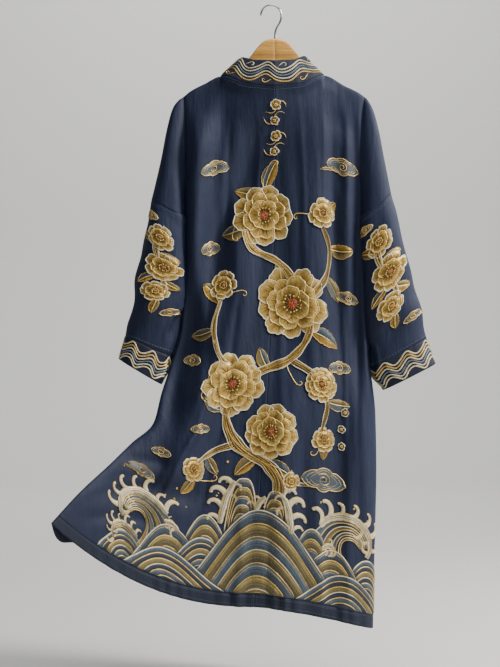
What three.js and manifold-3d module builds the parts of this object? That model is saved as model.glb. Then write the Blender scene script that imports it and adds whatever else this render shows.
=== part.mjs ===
// A long open robe in the kimono family, hung on a wooden hanger with a wire hook, its left skirt lifted by a draught.
// Millimetres. +Z is up, +Y is the way the wearer would face, and -Y is the back. "Left" and "right" are as seen from
// behind, so left is -X. The origin is the point inside the top of the hook that a rail or nail carries.
// Each cloth panel is a thin wall. Its outer points come from cross-sections at shares t of the way from the shoulder
// ridge (t = 0) to the hem (t = 1), and its inner points are those moved in by the wall.

import * as THREE from "three";
import { mergeVertices } from "three/addons/utils/BufferGeometryUtils.js";
import Module from "manifold-3d";

const wasm = await Module();
wasm.setup();

// ---- Driving sizes ----
const CLOTH_WALL = 1.8;
const SEAM_GAP = 0.4; // between two pieces that are sewn together
const COLLAR_WIDTH = 54;
const COLLAR_WALL = 3.2; // folded double over a stiff core
const FRONT_GAP = 30; // between the two collar bands, down the open front
const HEM_BAND_SHARE = 0.0236; // of the length from shoulder to hem
const BACK_LENGTH = 1079; // centre back, below the collar
const CENTRE_TOP = { x: 8, z: -173 }; // where the collar meets the centre back seam
const VALLEY_HALF = 12; // half the passage left between front and back walls where body and arm meet
const UNDERARM = 0.23; // share t at which the body and the sleeve part
const WIRE_RADIUS = 2;
const HOOK_RADIUS = 21.4; // middle of the wire
const HOOK_CENTRE = { x: 0, z: -19.4 };
const WOOD_CENTRE_X = 8;
const WOOD_THICKNESS = 13;
const WOOD_ROUNDING = 5.5;
const WOOD_UNDER_RIDGE = 3.6; // top of the wood below the outside of the shoulder ridge

// ---- Section tables ----
// The centre line of the body: middle x, half the body's depth there, and half its depth just under the shoulder ridge.
const CENTRE = [
  { t: 0, x: 8, half: 42, ridge: 0 },
  { t: 0.0012, x: 8, half: 42, ridge: 4.6 },
  { t: 0.004, x: 8, half: 41, ridge: 7.8 },
  { t: 0.008, x: 8, half: 40, ridge: 9.2 },
  { t: 0.03, x: 8, half: 38, ridge: 14 },
  { t: 0.06, x: 8, half: 37, ridge: 22 },
  { t: 0.12, x: 8, half: 39, ridge: 36 },
  { t: 0.24, x: 7, half: 46, ridge: 46 },
  { t: 0.4, x: 1, half: 56, ridge: 56 },
  { t: 0.6, x: -9, half: 64, ridge: 64 },
  { t: 0.8, x: -26, half: 70, ridge: 70 },
  { t: 1, x: -36, half: 74, ridge: 74 },
];

// Shape numbers that change down the body: how square the section is, and how the rows bend between centre and edge.
const SHAPE = [
  { t: 0, square: 8, leftLift: 1, rightLift: 1 },
  { t: 0.05, square: 7, leftLift: 1, rightLift: 1 },
  { t: 0.15, square: 4, leftLift: 1.1, rightLift: 1 },
  { t: 0.45, square: 3.2, leftLift: 1.5, rightLift: 1.2 },
  { t: 0.7, square: 2.8, leftLift: 2.0, rightLift: 1.3 },
  { t: 1, square: 2.6, leftLift: 2.2, rightLift: 1.4 },
];

// Each side: its outermost line (edge), the shoulder line as shares w from centre to edge (top), the dropped shoulder
// that lies on the upper arm (arm), and the sleeve and cuff as loops from the arm side (outer) to the body side (inner).
const LEFT = {
  name: "left",
  sign: -1,
  neck: 0.597,
  edge: [
    { t: 0, x: -183, y: 0, z: -190, thin: 1 },
    { t: 0.05, x: -181, y: 0, z: -246, thin: 1 },
    { t: 0.12, x: -181, y: 0, z: -323, thin: 1 },
    { t: 0.24, x: -181, y: 0, z: -453, thin: 1 },
    { t: 0.35, x: -182, y: 0, z: -573, thin: 1 },
    { t: 0.45, x: -190, y: 0, z: -680, thin: 0.95 },
    { t: 0.52, x: -210, y: -8, z: -752, thin: 0.85 },
    { t: 0.58, x: -229, y: -28, z: -812, thin: 0.75 },
    { t: 0.645, x: -245, y: -60, z: -874, thin: 0.62 },
    { t: 0.72, x: -286, y: -95, z: -911, thin: 0.5 },
    { t: 0.8, x: -328, y: -140, z: -952, thin: 0.42 },
    { t: 0.9, x: -384, y: -200, z: -1004, thin: 0.36 },
    { t: 1, x: -437, y: -250, z: -1062, thin: 0.32 },
  ],
  top: [
    { w: 0, z: -173 },
    { w: 0.3, z: -167 },
    { w: 0.597, z: -148 },
    { w: 0.77, z: -163 },
    { w: 0.93, z: -179 },
    { w: 1, z: -190 },
  ],
  arm: [
    { k: 0, outerX: -187, outerZ: -193, innerX: -185, innerZ: -192, half: 0 },
    { k: 0.04, outerX: -193, outerZ: -197, innerX: -187, innerZ: -200, half: 7 },
    { k: 0.15, outerX: -206, outerZ: -214, innerX: -192, innerZ: -222, half: 14 },
    { k: 0.35, outerX: -218, outerZ: -255, innerX: -197, innerZ: -272, half: 22 },
    { k: 0.6, outerX: -231, outerZ: -322, innerX: -197, innerZ: -345, half: 31 },
    { k: 0.8, outerX: -241, outerZ: -366, innerX: -188, innerZ: -402, half: 37 },
    { k: 1, outerX: -251, outerZ: -407, innerX: -182, innerZ: -449, half: 41 },
  ],
  sleeve: [
    { v: 0, outerX: -251, outerZ: -407, innerX: -181.9, innerZ: -449, half: 41 },
    { v: 0.157, outerX: -261, outerZ: -460, innerX: -182.2, innerZ: -502, half: 45 },
    { v: 0.316, outerX: -271, outerZ: -514, innerX: -182.7, innerZ: -550, half: 47 },
    { v: 0.5, outerX: -283, outerZ: -577, innerX: -183.6, innerZ: -596, half: 46 },
    { v: 0.614, outerX: -290, outerZ: -615, innerX: -186.4, innerZ: -626, half: 43 },
    { v: 0.704, outerX: -296, outerZ: -645, innerX: -190.5, innerZ: -651, half: 41 },
    { v: 0.78, outerX: -302, outerZ: -670, innerX: -195, innerZ: -682, half: 41 },
    { v: 0.845, outerX: -306, outerZ: -692, innerX: -210.5, innerZ: -737, half: 42 },
    { v: 1, outerX: -320, outerZ: -740, innerX: -229, innerZ: -794, half: 45 },
  ],
};

const RIGHT = {
  name: "right",
  sign: 1,
  neck: 0.551,
  edge: [
    { t: 0, x: 195, y: 0, z: -190, thin: 1 },
    { t: 0.05, x: 189, y: 0, z: -246, thin: 1 },
    { t: 0.12, x: 187, y: 0, z: -323, thin: 1 },
    { t: 0.2, x: 189, y: 0, z: -414, thin: 1 },
    { t: 0.3, x: 195, y: 0, z: -525, thin: 1 },
    { t: 0.4, x: 199, y: 0, z: -636, thin: 1 },
    { t: 0.5, x: 207, y: 0, z: -747, thin: 1 },
    { t: 0.6, x: 219, y: 0, z: -859, thin: 1 },
    { t: 0.7, x: 221, y: 0, z: -970, thin: 1 },
    { t: 0.8, x: 219, y: 0, z: -1081, thin: 1 },
    { t: 0.9, x: 216, y: 0, z: -1193, thin: 1 },
    { t: 1, x: 214, y: 0, z: -1304, thin: 1 },
  ],
  top: [
    { w: 0, z: -173 },
    { w: 0.28, z: -167 },
    { w: 0.551, z: -146 },
    { w: 0.786, z: -168 },
    { w: 0.93, z: -181 },
    { w: 1, z: -190 },
  ],
  arm: [
    { k: 0, outerX: 199, outerZ: -193, innerX: 197, innerZ: -192, half: 0 },
    { k: 0.04, outerX: 204, outerZ: -199, innerX: 196, innerZ: -201, half: 7 },
    { k: 0.15, outerX: 215, outerZ: -220, innerX: 195, innerZ: -226, half: 14 },
    { k: 0.35, outerX: 227, outerZ: -265, innerX: 194, innerZ: -276, half: 22 },
    { k: 0.6, outerX: 237, outerZ: -318, innerX: 194, innerZ: -342, half: 31 },
    { k: 0.8, outerX: 245, outerZ: -359, innerX: 194, innerZ: -398, half: 37 },
    { k: 1, outerX: 252, outerZ: -395, innerX: 191.7, innerZ: -450, half: 41 },
  ],
  sleeve: [
    { v: 0, outerX: 252, outerZ: -395, innerX: 191.6, innerZ: -450, half: 41 },
    { v: 0.135, outerX: 264, outerZ: -443, innerX: 194.5, innerZ: -498, half: 45 },
    { v: 0.26, outerX: 276, outerZ: -487, innerX: 197.0, innerZ: -550, half: 47 },
    { v: 0.377, outerX: 286, outerZ: -529, innerX: 198.6, innerZ: -598, half: 47 },
    { v: 0.495, outerX: 297, outerZ: -571, innerX: 200.5, innerZ: -645, half: 45 },
    { v: 0.596, outerX: 305, outerZ: -607, innerX: 204.2, innerZ: -687, half: 42 },
    { v: 0.683, outerX: 313, outerZ: -638, innerX: 207.5, innerZ: -705, half: 41 },
    { v: 0.773, outerX: 320, outerZ: -670, innerX: 209.5, innerZ: -730, half: 41 },
    { v: 0.847, outerX: 326, outerZ: -697, innerX: 212.5, innerZ: -760, half: 42 },
    { v: 1, outerX: 345, outerZ: -750, innerX: 234, innerZ: -806, half: 45 },
  ],
};
const CUFF_FROM = 0.846; // share of the sleeve at which the cuff band starts

// The largest folds. Each runs from (x0, z0) to (x1, z1) on the back or the front; a height above 0 stands out.
const FOLDS = [
  { face: "back", x0: -108, z0: -230, x1: -118, z1: -640, width: 30, height: 15 },
  { face: "back", x0: -48, z0: -300, x1: -190, z1: -800, width: 32, height: -24 },
  { face: "back", x0: -122, z0: -760, x1: -222, z1: -1030, width: 34, height: 18 },
  { face: "back", x0: -150, z0: -1010, x1: -350, z1: -1000, width: 26, height: -14 },
  { face: "back", x0: 128, z0: -230, x1: 150, z1: -820, width: 20, height: -11 },
  { face: "back", x0: 172, z0: -230, x1: 196, z1: -1180, width: 18, height: 8 },
  { face: "back", x0: 40, z0: -760, x1: 20, z1: -1290, width: 34, height: 10 },
  { face: "back", x0: 120, z0: -860, x1: 128, z1: -1300, width: 30, height: -9 },
  { face: "front", x0: -120, z0: -300, x1: -150, z1: -900, width: 28, height: -16 },
  { face: "front", x0: -90, z0: -600, x1: -230, z1: -1180, width: 34, height: 18 },
  { face: "front", x0: 112, z0: -300, x1: 120, z1: -1290, width: 26, height: -14 },
  { face: "front", x0: 160, z0: -420, x1: 176, z1: -1290, width: 24, height: 12 },
];

// Where the collar band stands from its seam: its direction at shares of the back neckline and of the front edge.
const COLLAR_BACK = [
  { at: 0, side: 0, ahead: 0.16, up: 0.99 },
  { at: 0.5, side: 0.3, ahead: 0.15, up: 0.95 },
  { at: 1, side: 0.7, ahead: 0.1, up: 0.7 },
];
const COLLAR_FRONT = [
  { at: 0, side: 0.7, ahead: 0.1, up: 0.7 },
  { at: 0.008, side: 0.72, ahead: 0.34, up: 0.6 },
  { at: 0.03, side: 0.8, ahead: 0.4, up: 0.4 },
  { at: 0.09, side: 0.96, ahead: 0.22, up: 0.2 },
  { at: 0.24, side: 1, ahead: 0.04, up: 0.08 },
  { at: 0.4, side: 1, ahead: 0.02, up: 0 },
  { at: 1, side: 1, ahead: 0, up: 0 },
];
// Inner edge of each front, as a distance out from the centre line.
const FRONT_EDGE = [
  { t: 0, fromNeck: 1 },
  { t: 0.06, fromNeck: 0.84 },
  { t: 0.14, fromNeck: 0.44 },
  { t: 0.22, fromNeck: 0.1 },
  { t: 0.3, fromNeck: 0 },
  { t: 1, fromNeck: 0 },
];
// The lifted skirt's front hangs below its corner, between the side seam and this many radians round to the front.
const CORNER_DROP = { deep: 24, until: 0.8, from: 0.86 };
const FRONT_EDGE_OUT = COLLAR_WIDTH + FRONT_GAP / 2; // once past the neck opening

// ---- Mesh density ----
const BAND_START = 1 - HEM_BAND_SHARE;
const BAND_GAP_SHARE = SEAM_GAP / BACK_LENGTH;
const PANEL_ROWS = [
  0, 0.0012, 0.004, 0.008, 0.025, 0.05, 0.085, 0.12, 0.16, 0.2, UNDERARM, 0.243, 0.27, 0.3, 0.35, 0.4, 0.45, 0.5,
  0.55, 0.6, 0.65, 0.7, 0.75, 0.8, 0.85, 0.9, 0.94, BAND_START - BAND_GAP_SHARE,
];
const BAND_ROWS = [BAND_START, 1];
const BACK_COLUMNS = { neck: 7, shoulder: 6 };
const FRONT_COLUMNS = 9;
const ARM_COLUMNS = 6;
const SLEEVE_COLUMNS = 22;
const SECTION_POINTS = 240;

// ---- Small helpers ----
const clamp01 = (x) => Math.min(1, Math.max(0, x));
const mix = (a, b, s) => a + (b - a) * s;
const ease = (s) => clamp01(s) ** 2 * (3 - 2 * clamp01(s));

/** A smooth function through one column of a table, with slopes that never overshoot its rows. */
function through(rows, key, column) {
  const xs = rows.map((r) => r[key]);
  const ys = rows.map((r) => r[column]);
  const steps = xs.slice(1).map((x, i) => (ys[i + 1] - ys[i]) / (x - xs[i]));
  const slopes = xs.map((_, i) => {
    if (i === 0) return steps[0];
    if (i === xs.length - 1) return steps[i - 1];
    const [a, b] = [steps[i - 1], steps[i]];
    return a * b <= 0 ? 0 : (2 * a * b) / (a + b);
  });
  return (x) => {
    let i = xs.findIndex((x1) => x1 > x) - 1;
    if (i === -2) i = xs.length - 2;
    i = Math.max(0, i);
    const h = xs[i + 1] - xs[i];
    const s = clamp01((x - xs[i]) / h);
    const rise = ys[i + 1] - ys[i];
    const bend = (slopes[i] * (1 - s) - slopes[i + 1] * s) * h - rise * (1 - 2 * s);
    return ys[i] + rise * s + bend * s * (1 - s);
  };
}

const centreX = through(CENTRE, "t", "x");
const centreHalf = through(CENTRE, "t", "half");
const ridgeHalf = through(CENTRE, "t", "ridge");
const squareness = through(SHAPE, "t", "square");
const fromNeck = through(FRONT_EDGE, "t", "fromNeck");
for (const side of [LEFT, RIGHT]) {
  side.edgeX = through(side.edge, "t", "x");
  side.edgeY = through(side.edge, "t", "y");
  side.edgeZ = through(side.edge, "t", "z");
  side.thin = through(side.edge, "t", "thin");
  side.topZ = through(side.top, "w", "z");
  side.lift = through(SHAPE, "t", side === LEFT ? "leftLift" : "rightLift");
}

/** How far the folds of a face stand out at (x, z). */
function foldHeight(face, x, z) {
  let out = 0;
  for (const f of FOLDS.filter((fold) => fold.face === face)) {
    const [dx, dz] = [f.x1 - f.x0, f.z1 - f.z0];
    const length = Math.hypot(dx, dz);
    const along = ((x - f.x0) * dx + (z - f.z0) * dz) / length ** 2;
    const across = ((x - f.x0) * dz - (z - f.z0) * dx) / length;
    const fade = ease((along + 0.2) / 0.4) * ease((1.2 - along) / 0.4);
    out += f.height * fade * Math.exp(-((across / f.width) ** 2));
  }
  return out;
}

/** One point of a side's section at share t: angle 0 is the centre back, a quarter turn the edge, a half the centre front. */
function bodyPoint(side, t, angle) {
  const n = squareness(t);
  const w = Math.sin(angle) ** (2 / n);
  const fullness = Math.abs(Math.cos(angle)) ** (2 / n);
  const toBack = angle <= Math.PI / 2 ? -1 : 1;
  const x = mix(centreX(t), side.edgeX(t), w);
  const centreZ = CENTRE_TOP.z - BACK_LENGTH * t;
  const neckline = side.topZ(w) - mix(CENTRE_TOP.z, side.edgeZ(0), w);
  const round = Math.max(0, angle - Math.PI / 2) / CORNER_DROP.until;
  const near = side === LEFT ? ease((t - CORNER_DROP.from) / (1 - CORNER_DROP.from)) : 0;
  const drop = CORNER_DROP.deep * near * ease(round * 2.2) * ease(2 - 2 * round);
  const z = mix(centreZ, side.edgeZ(t), w ** side.lift(t)) + neckline * (1 - t) ** 4 - drop;
  const shoulder = 1 - Math.sqrt(Math.max(0, 1 - (w / side.neck) ** 2)) ** 0.8;
  const half = mix(centreHalf(t), ridgeHalf(t), shoulder) * mix(1, side.thin(t), w);
  const middle = side.edgeY(t) * w ** 1.7;
  const fold = foldHeight(toBack < 0 ? "back" : "front", x, z) * (1 - w ** 10) * ease(t / 0.08);
  return new THREE.Vector3(x, middle + toBack * (half * fullness + fold + SEAM_GAP / 2), z);
}

/** The direction in which a side's section points where its two walls meet at the side seam. */
function seamDirection(side, t) {
  const [w, bend] = [0.9, 1 - 0.9 ** 1.7];
  const across = (side.edgeX(t) - centreX(t)) * (1 - w);
  return new THREE.Vector3(across, side.edgeY(t) * bend, 0).normalize();
}

/** The angle at which the back wall of a side ends: in the valley beside the arm, or at the side seam below it. */
function wallEnd(side, t) {
  const open = Math.min(0.4, VALLEY_HALF / Math.max(ridgeHalf(t), 1)) * (1 - ease((t - UNDERARM) / 0.013));
  return Math.acos(Math.max(open, 1e-3) ** (squareness(t) / 2));
}

/** Spreads count + 1 points evenly along a row of points, keeping both ends. shares can place them unevenly. */
function spread(points, shares) {
  const along = [0];
  for (let i = 1; i < points.length; i++) along.push(along[i - 1] + points[i].distanceTo(points[i - 1]));
  const total = along.at(-1);
  let i = 0;
  return shares.map((share) => {
    const at = share * total;
    while (i < points.length - 2 && along[i + 1] < at) i++;
    const span = along[i + 1] - along[i] || 1;
    return points[i].clone().lerp(points[i + 1], clamp01((at - along[i]) / span));
  });
}

const evenly = (count) => Array.from({ length: count + 1 }, (_, i) => i / count);

/** The points of a section between two angles. */
function bodyArc(side, t, from, to) {
  return evenly(SECTION_POINTS).map((s) => bodyPoint(side, t, mix(from, to, s)));
}

/** Shares of the back row at which its columns lie, with one column on the point where neckline and shoulder meet. */
function backShares(side) {
  const row = bodyArc(side, 0, 0, wallEnd(side, 0));
  const neckX = mix(centreX(0), side.edgeX(0), side.neck);
  const lengths = row.map((p, i) => (i ? p.distanceTo(row[i - 1]) : 0));
  const whole = lengths.reduce((a, b) => a + b, 0);
  const beforeNeck = row.reduce((sum, p, i) => sum + (side.sign * (p.x - neckX) <= 0 ? lengths[i] : 0), 0);
  const neck = beforeNeck / whole;
  const { neck: inner, shoulder: outer } = BACK_COLUMNS;
  return [...evenly(inner).map((s) => s * neck), ...evenly(outer).slice(1).map((s) => mix(neck, 1, s))];
}

/** Where the inner edge of a front lies at share t. */
function frontEdgeX(side, t) {
  const neckX = mix(centreX(0), side.edgeX(0), side.neck);
  const plain = centreX(t) + side.sign * FRONT_EDGE_OUT;
  return mix(plain, neckX, fromNeck(t));
}

/** A row of the back body wall, from the centre seam outwards. */
function backRow(side, t) {
  const row = spread(bodyArc(side, t, 0, wallEnd(side, t)), side.backShares);
  row[0].x += (side.sign * SEAM_GAP) / 2;
  return row;
}

/** A row of the front body wall, from its inner edge out to the valley or the side seam. */
function frontRow(side, t) {
  const arc = bodyArc(side, t, Math.PI, Math.PI - wallEnd(side, t));
  const edge = frontEdgeX(side, t);
  const first = arc.findIndex((p) => side.sign * (p.x - edge) > 0);
  const [a, b] = [arc[first - 1], arc[first]];
  const start = a.clone().lerp(b, (edge - a.x) / (b.x - a.x));
  return spread([start, ...arc.slice(first)], evenly(FRONT_COLUMNS));
}

/** A loop table's section at share s: a point at an angle from the outer end (0) round the back to the inner end (half a turn). */
function loopPoint(rows, key, s, angle, square = 2.6) {
  const get = (column) => through(rows, key, column)(s);
  const [c, d] = [Math.cos(angle), Math.sin(angle)];
  const reach = Math.sign(c) * Math.abs(c) ** (2 / square);
  const share = (1 - reach) / 2;
  const y = -Math.sign(d) * Math.abs(d) ** (2 / square) * get("half");
  return new THREE.Vector3(mix(get("outerX"), get("innerX"), share), y, mix(get("outerZ"), get("innerZ"), share));
}

/** The row of the dropped shoulder on the upper arm, from the valley (a point of the body wall) out to the arm's ridge. */
function armRow(side, t, valley, toBack) {
  const k = t / UNDERARM;
  const arc = evenly(60).map((s) => {
    const p = loopPoint(side.arm, "k", k, mix(Math.PI * 0.94, 0, s));
    return new THREE.Vector3(p.x, toBack * (Math.abs(p.y) + SEAM_GAP / 2), p.z);
  });
  const pull = valley.clone().sub(arc[0]);
  const row = arc.map((p, i) => p.addScaledVector(pull, (1 - i / 60) ** 3));
  return spread(row, evenly(ARM_COLUMNS)).slice(1);
}

// ---- Walls ----
/** Outward normals of a grid of points, from its neighbours. flip turns them round. */
function gridNormals(grid, flip) {
  return grid.map((row, j) =>
    row.map((p, i) => {
      const up = grid[j - 1]?.[i] ?? p;
      const down = grid[j + 1]?.[i] ?? p;
      const before = row[i - 1] ?? p;
      const after = row[i + 1] ?? p;
      const normal = after.clone().sub(before).cross(down.clone().sub(up)).normalize();
      return flip ? normal.negate() : normal;
    }),
  );
}

/** A grid of points moved along its normals. */
function moved(grid, normals, distance) {
  return grid.map((row, j) => row.map((p, i) => p.clone().addScaledVector(normals[j][i], distance)));
}

/** A closed wall between an outer and an inner grid of points. */
function wallSolid(grid, inner, closed = false) {
  const index = new Map();
  const positions = [];
  grid.forEach((row, j) =>
    row.forEach((p, i) => {
      index.set(`${j},${i}`, positions.length / 3);
      positions.push(p.x, p.y, p.z);
      positions.push(inner[j][i].x, inner[j][i].y, inner[j][i].z);
    }),
  );
  const cells = [];
  const at = (j, i) => (closed && i === grid[j].length ? index.get(`${j},0`) : index.get(`${j},${i}`));
  for (let j = 0; j + 1 < grid.length; j++) {
    const shorter = Math.min(grid[j].length, grid[j + 1].length);
    for (let i = 0; i < (closed ? shorter : shorter - 1); i++) {
      cells.push([at(j, i), at(j, i + 1), at(j + 1, i + 1), at(j + 1, i)]);
    }
  }
  const faces = [];
  const rims = new Map();
  for (const [a, b, c, d] of cells) {
    faces.push(a, b, c, a, c, d);
    faces.push(a + 1, c + 1, b + 1, a + 1, d + 1, c + 1);
    for (const [from, to] of [[a, b], [b, c], [c, d], [d, a]]) {
      if (rims.has(`${to},${from}`)) rims.delete(`${to},${from}`);
      else rims.set(`${from},${to}`, [from, to]);
    }
  }
  for (const [from, to] of rims.values()) {
    if (from < to) faces.push(from, from + 1, to + 1, from, to + 1, to);
    else faces.push(from, from + 1, to, to, from + 1, to + 1);
  }
  const geometry = new THREE.BufferGeometry();
  geometry.setAttribute("position", new THREE.BufferAttribute(new Float32Array(positions), 3));
  geometry.setIndex(faces);
  return facingOut(geometry);
}

/** The same geometry with its faces turned round if they point in. */
function facingOut(geometry) {
  const p = geometry.getAttribute("position");
  const faces = geometry.getIndex().array;
  const corner = (i) => new THREE.Vector3().fromBufferAttribute(p, faces[i]);
  let volume = 0;
  for (let i = 0; i < faces.length; i += 3) volume += corner(i).dot(corner(i + 1).cross(corner(i + 2)));
  if (volume < 0) for (let i = 0; i < faces.length; i += 3) [faces[i], faces[i + 1]] = [faces[i + 1], faces[i]];
  return geometry;
}

const flatten = (normal, axis) => {
  normal[axis] = 0;
  normal.normalize();
};

// ---- Body panels ----
/** A back or front panel of one side, with its dropped shoulder, and the hem band under it. */
function bodyPanel(side, isBack) {
  const toBack = isBack ? -1 : 1;
  const rows = [...PANEL_ROWS, ...BAND_ROWS];
  const body = rows.map((t) => (isBack ? backRow(side, t) : frontRow(side, t)));
  const grid = body.map((row, j) => {
    const onArm = rows[j] <= UNDERARM ? armRow(side, rows[j], row.at(-1), toBack) : [];
    return [...row, ...onArm];
  });
  const normals = gridNormals(grid, side.sign * toBack < 0);
  const seam = body[0].length - 1;
  normals.forEach((row, j) => {
    if (isBack) flatten(row[0], "x");
    if (rows[j] > UNDERARM) row[seam].copy(seamDirection(side, rows[j]));
    else flatten(row.at(-1), "y");
  });
  normals[0].forEach((normal, i) => flatten(normal, isBack && i < BACK_COLUMNS.neck ? "z" : "y"));
  const last = PANEL_ROWS.length;
  normals[last].forEach((normal, i) => normals[last - 1][i].copy(normal));
  const inner = moved(grid, normals, -CLOTH_WALL);
  return {
    edge: grid.map((row, j) => ({ seam: row[0], outward: normals[j][0] })),
    top: grid[0].map((seam, i) => ({ seam, outward: normals[0][i] })),
    panel: wallSolid(grid.slice(0, last), inner.slice(0, last)),
    band: wallSolid(grid.slice(last), inner.slice(last)),
  };
}

// ---- Sleeves ----
/** A stretch of the sleeve, between two shares of its table. */
function sleeveTube(side, from, to, rowCount) {
  const grid = evenly(rowCount).map((s) => {
    const v = mix(from, to, s);
    const loop = evenly(SECTION_POINTS).map((a) => loopPoint(side.sleeve, "v", v, Math.PI + 2 * Math.PI * a));
    return spread(loop, evenly(SLEEVE_COLUMNS)).slice(0, -1);
  });
  const wrapped = grid.map((row) => [row.at(-1), ...row, row[0]]);
  const normals = gridNormals(wrapped, side.sign < 0).map((row) => row.slice(1, -1));
  return wallSolid(grid, moved(grid, normals, -CLOTH_WALL), true);
}

/** The share of the sleeve's table that a distance covers. */
function sleeveShare(side, distance) {
  const [a, b] = [side.sleeve[0], side.sleeve.at(-1)];
  return distance / Math.hypot(b.outerX - a.outerX, b.outerZ - a.outerZ);
}

// ---- Collar ----
/** The collar band's seam points and directions for one side, from the centre back to the front hem. */
function collarStations(side, back, front) {
  const stations = [];
  const point = (table, at, { seam, outward }) => {
    const [aside, ahead, up] = ["side", "ahead", "up"].map((column) => through(table, "at", column)(at));
    const direction = new THREE.Vector3(-side.sign * aside, ahead, up).normalize();
    stations.push({ seam: seam.clone().addScaledVector(direction, 1.3 * SEAM_GAP), direction, outward });
  };
  for (let i = 0; i < BACK_COLUMNS.neck; i++) point(COLLAR_BACK, i / BACK_COLUMNS.neck, back.top[i]);
  const rows = [...PANEL_ROWS, ...BAND_ROWS];
  front.edge.forEach((place, j) => point(COLLAR_FRONT, rows[j], place));
  return stations;
}

/** One half of the band, from the centre back to the front hem. Its outer face stands proud of the panels. */
function collarSolid(side, stations) {
  const grid = stations.map(({ seam, direction }) =>
    [0, 0.5, 1].map((s) => seam.clone().addScaledVector(direction, s * COLLAR_WIDTH)),
  );
  const normals = gridNormals(grid, side.sign > 0);
  normals[0].forEach((normal) => flatten(normal, "x"));
  const outer = moved(grid, normals, COLLAR_WALL - CLOTH_WALL);
  stations.forEach(({ outward }, j) => (normals[j][0] = outward));
  return wallSolid(outer, moved(grid, normals, -CLOTH_WALL));
}

// ---- Hanger ----
/** The top line of the wood: a dome at the neck, then arms that keep just under the shoulder ridge. */
function woodTop(side) {
  const dome = [[0, -68], [14, -70], [26, -76], [37, -87], [47, -100], [57, -112], [70, -126], [88, -140]];
  const points = dome.map(([out, z]) => new THREE.Vector2(WOOD_CENTRE_X + side.sign * out, z));
  for (const w of evenly(6).map((s) => mix(side.neck, 0.9, s))) {
    points.push(new THREE.Vector2(mix(centreX(0), side.edgeX(0), w), side.topZ(w) - WOOD_UNDER_RIDGE));
  }
  return points;
}

/** One half of the wooden hanger, rounded at its edges, with the socket for the hook's stem. */
function woodHalf(side) {
  const top = woodTop(side);
  const tip = top.at(-1);
  const under = [
    new THREE.Vector2(tip.x + side.sign * 5, tip.y - 12),
    new THREE.Vector2(tip.x, tip.y - 27),
    new THREE.Vector2(WOOD_CENTRE_X + side.sign * 95, -190),
    new THREE.Vector2(WOOD_CENTRE_X + side.sign * 40, -152),
    new THREE.Vector2(WOOD_CENTRE_X, -138),
  ];
  const inset = WOOD_ROUNDING;
  const outline = [...top, ...under];
  const shape = new THREE.Shape(side.sign > 0 ? outline.reverse() : outline);
  const geometry = new THREE.ExtrudeGeometry(shape, {
    depth: WOOD_THICKNESS - 2 * inset,
    bevelThickness: inset,
    bevelSize: inset,
    bevelOffset: -inset,
    bevelSegments: 3,
  });
  geometry.rotateX(Math.PI / 2).translate(0, WOOD_THICKNESS / 2 - inset, 0);
  const wood = solid(geometry);
  const joint = new THREE.BoxGeometry(100, 60, 400).translate(WOOD_CENTRE_X - side.sign * (50 - 0.2), 0, -150);
  const stem = new THREE.CylinderGeometry(WIRE_RADIUS + 0.3, WIRE_RADIUS + 0.3, 80, 16);
  stem.rotateX(Math.PI / 2).translate(WOOD_CENTRE_X, 0, -60);
  return geometryOf(wood.subtract(solid(joint)).subtract(solid(stem)));
}

/** The wire hook: most of a circle open on the left, then a swan neck down into the wood. */
function hookWire() {
  const points = [];
  for (let degrees = 178; degrees >= 0; degrees -= 22.25) {
    const a = THREE.MathUtils.degToRad(degrees);
    points.push([HOOK_CENTRE.x + HOOK_RADIUS * Math.cos(a), HOOK_CENTRE.z + HOOK_RADIUS * Math.sin(a)]);
  }
  points.push([20.2, -28], [16, -37], [10.6, -46], [8.3, -56], [WOOD_CENTRE_X, -68], [WOOD_CENTRE_X, -96]);
  const path = new THREE.CatmullRomCurve3(points.map(([x, z]) => new THREE.Vector3(x, 0, z)));
  const section = new THREE.Shape(
    evenly(10).slice(1).map((s) => {
      const a = 2 * Math.PI * s;
      return new THREE.Vector2(WIRE_RADIUS * Math.cos(a), WIRE_RADIUS * Math.sin(a));
    }),
  );
  return new THREE.ExtrudeGeometry(section, { steps: 44, extrudePath: path, bevelEnabled: false });
}

/** A three.js geometry as a manifold solid, and back. */
function solid(geometry) {
  const bare = new THREE.BufferGeometry().setAttribute("position", geometry.getAttribute("position"));
  if (geometry.index) bare.setIndex(geometry.index);
  const merged = mergeVertices(bare, 1e-3);
  const vertProperties = merged.attributes.position.array;
  return new wasm.Manifold(new wasm.Mesh({ numProp: 3, vertProperties, triVerts: new Uint32Array(merged.index.array) }));
}

function geometryOf(made) {
  const mesh = made.getMesh();
  const geometry = new THREE.BufferGeometry();
  geometry.setAttribute("position", new THREE.BufferAttribute(new Float32Array(mesh.vertProperties), 3));
  return geometry.setIndex(new THREE.BufferAttribute(new Uint32Array(mesh.triVerts), 1));
}

// ---- Materials ----
const navyCloth = new THREE.MeshStandardMaterial({ color: 0x262f47, roughness: 0.62, metalness: 0 });
const collarCloth = new THREE.MeshStandardMaterial({ color: 0x1f2740, roughness: 0.55, metalness: 0 });
const hemCloth = new THREE.MeshStandardMaterial({ color: 0x242a40, roughness: 0.68, metalness: 0 });
const beechWood = new THREE.MeshStandardMaterial({ color: 0xc08a4e, roughness: 0.42, metalness: 0 });
const polishedWire = new THREE.MeshStandardMaterial({ color: 0xc9ccd0, roughness: 0.18, metalness: 1 });

// ---- Assembly ----
const robe = new THREE.Group();
function add(name, geometry, material) {
  const mesh = new THREE.Mesh(geometry, material);
  mesh.name = name;
  robe.add(mesh);
}

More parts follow.
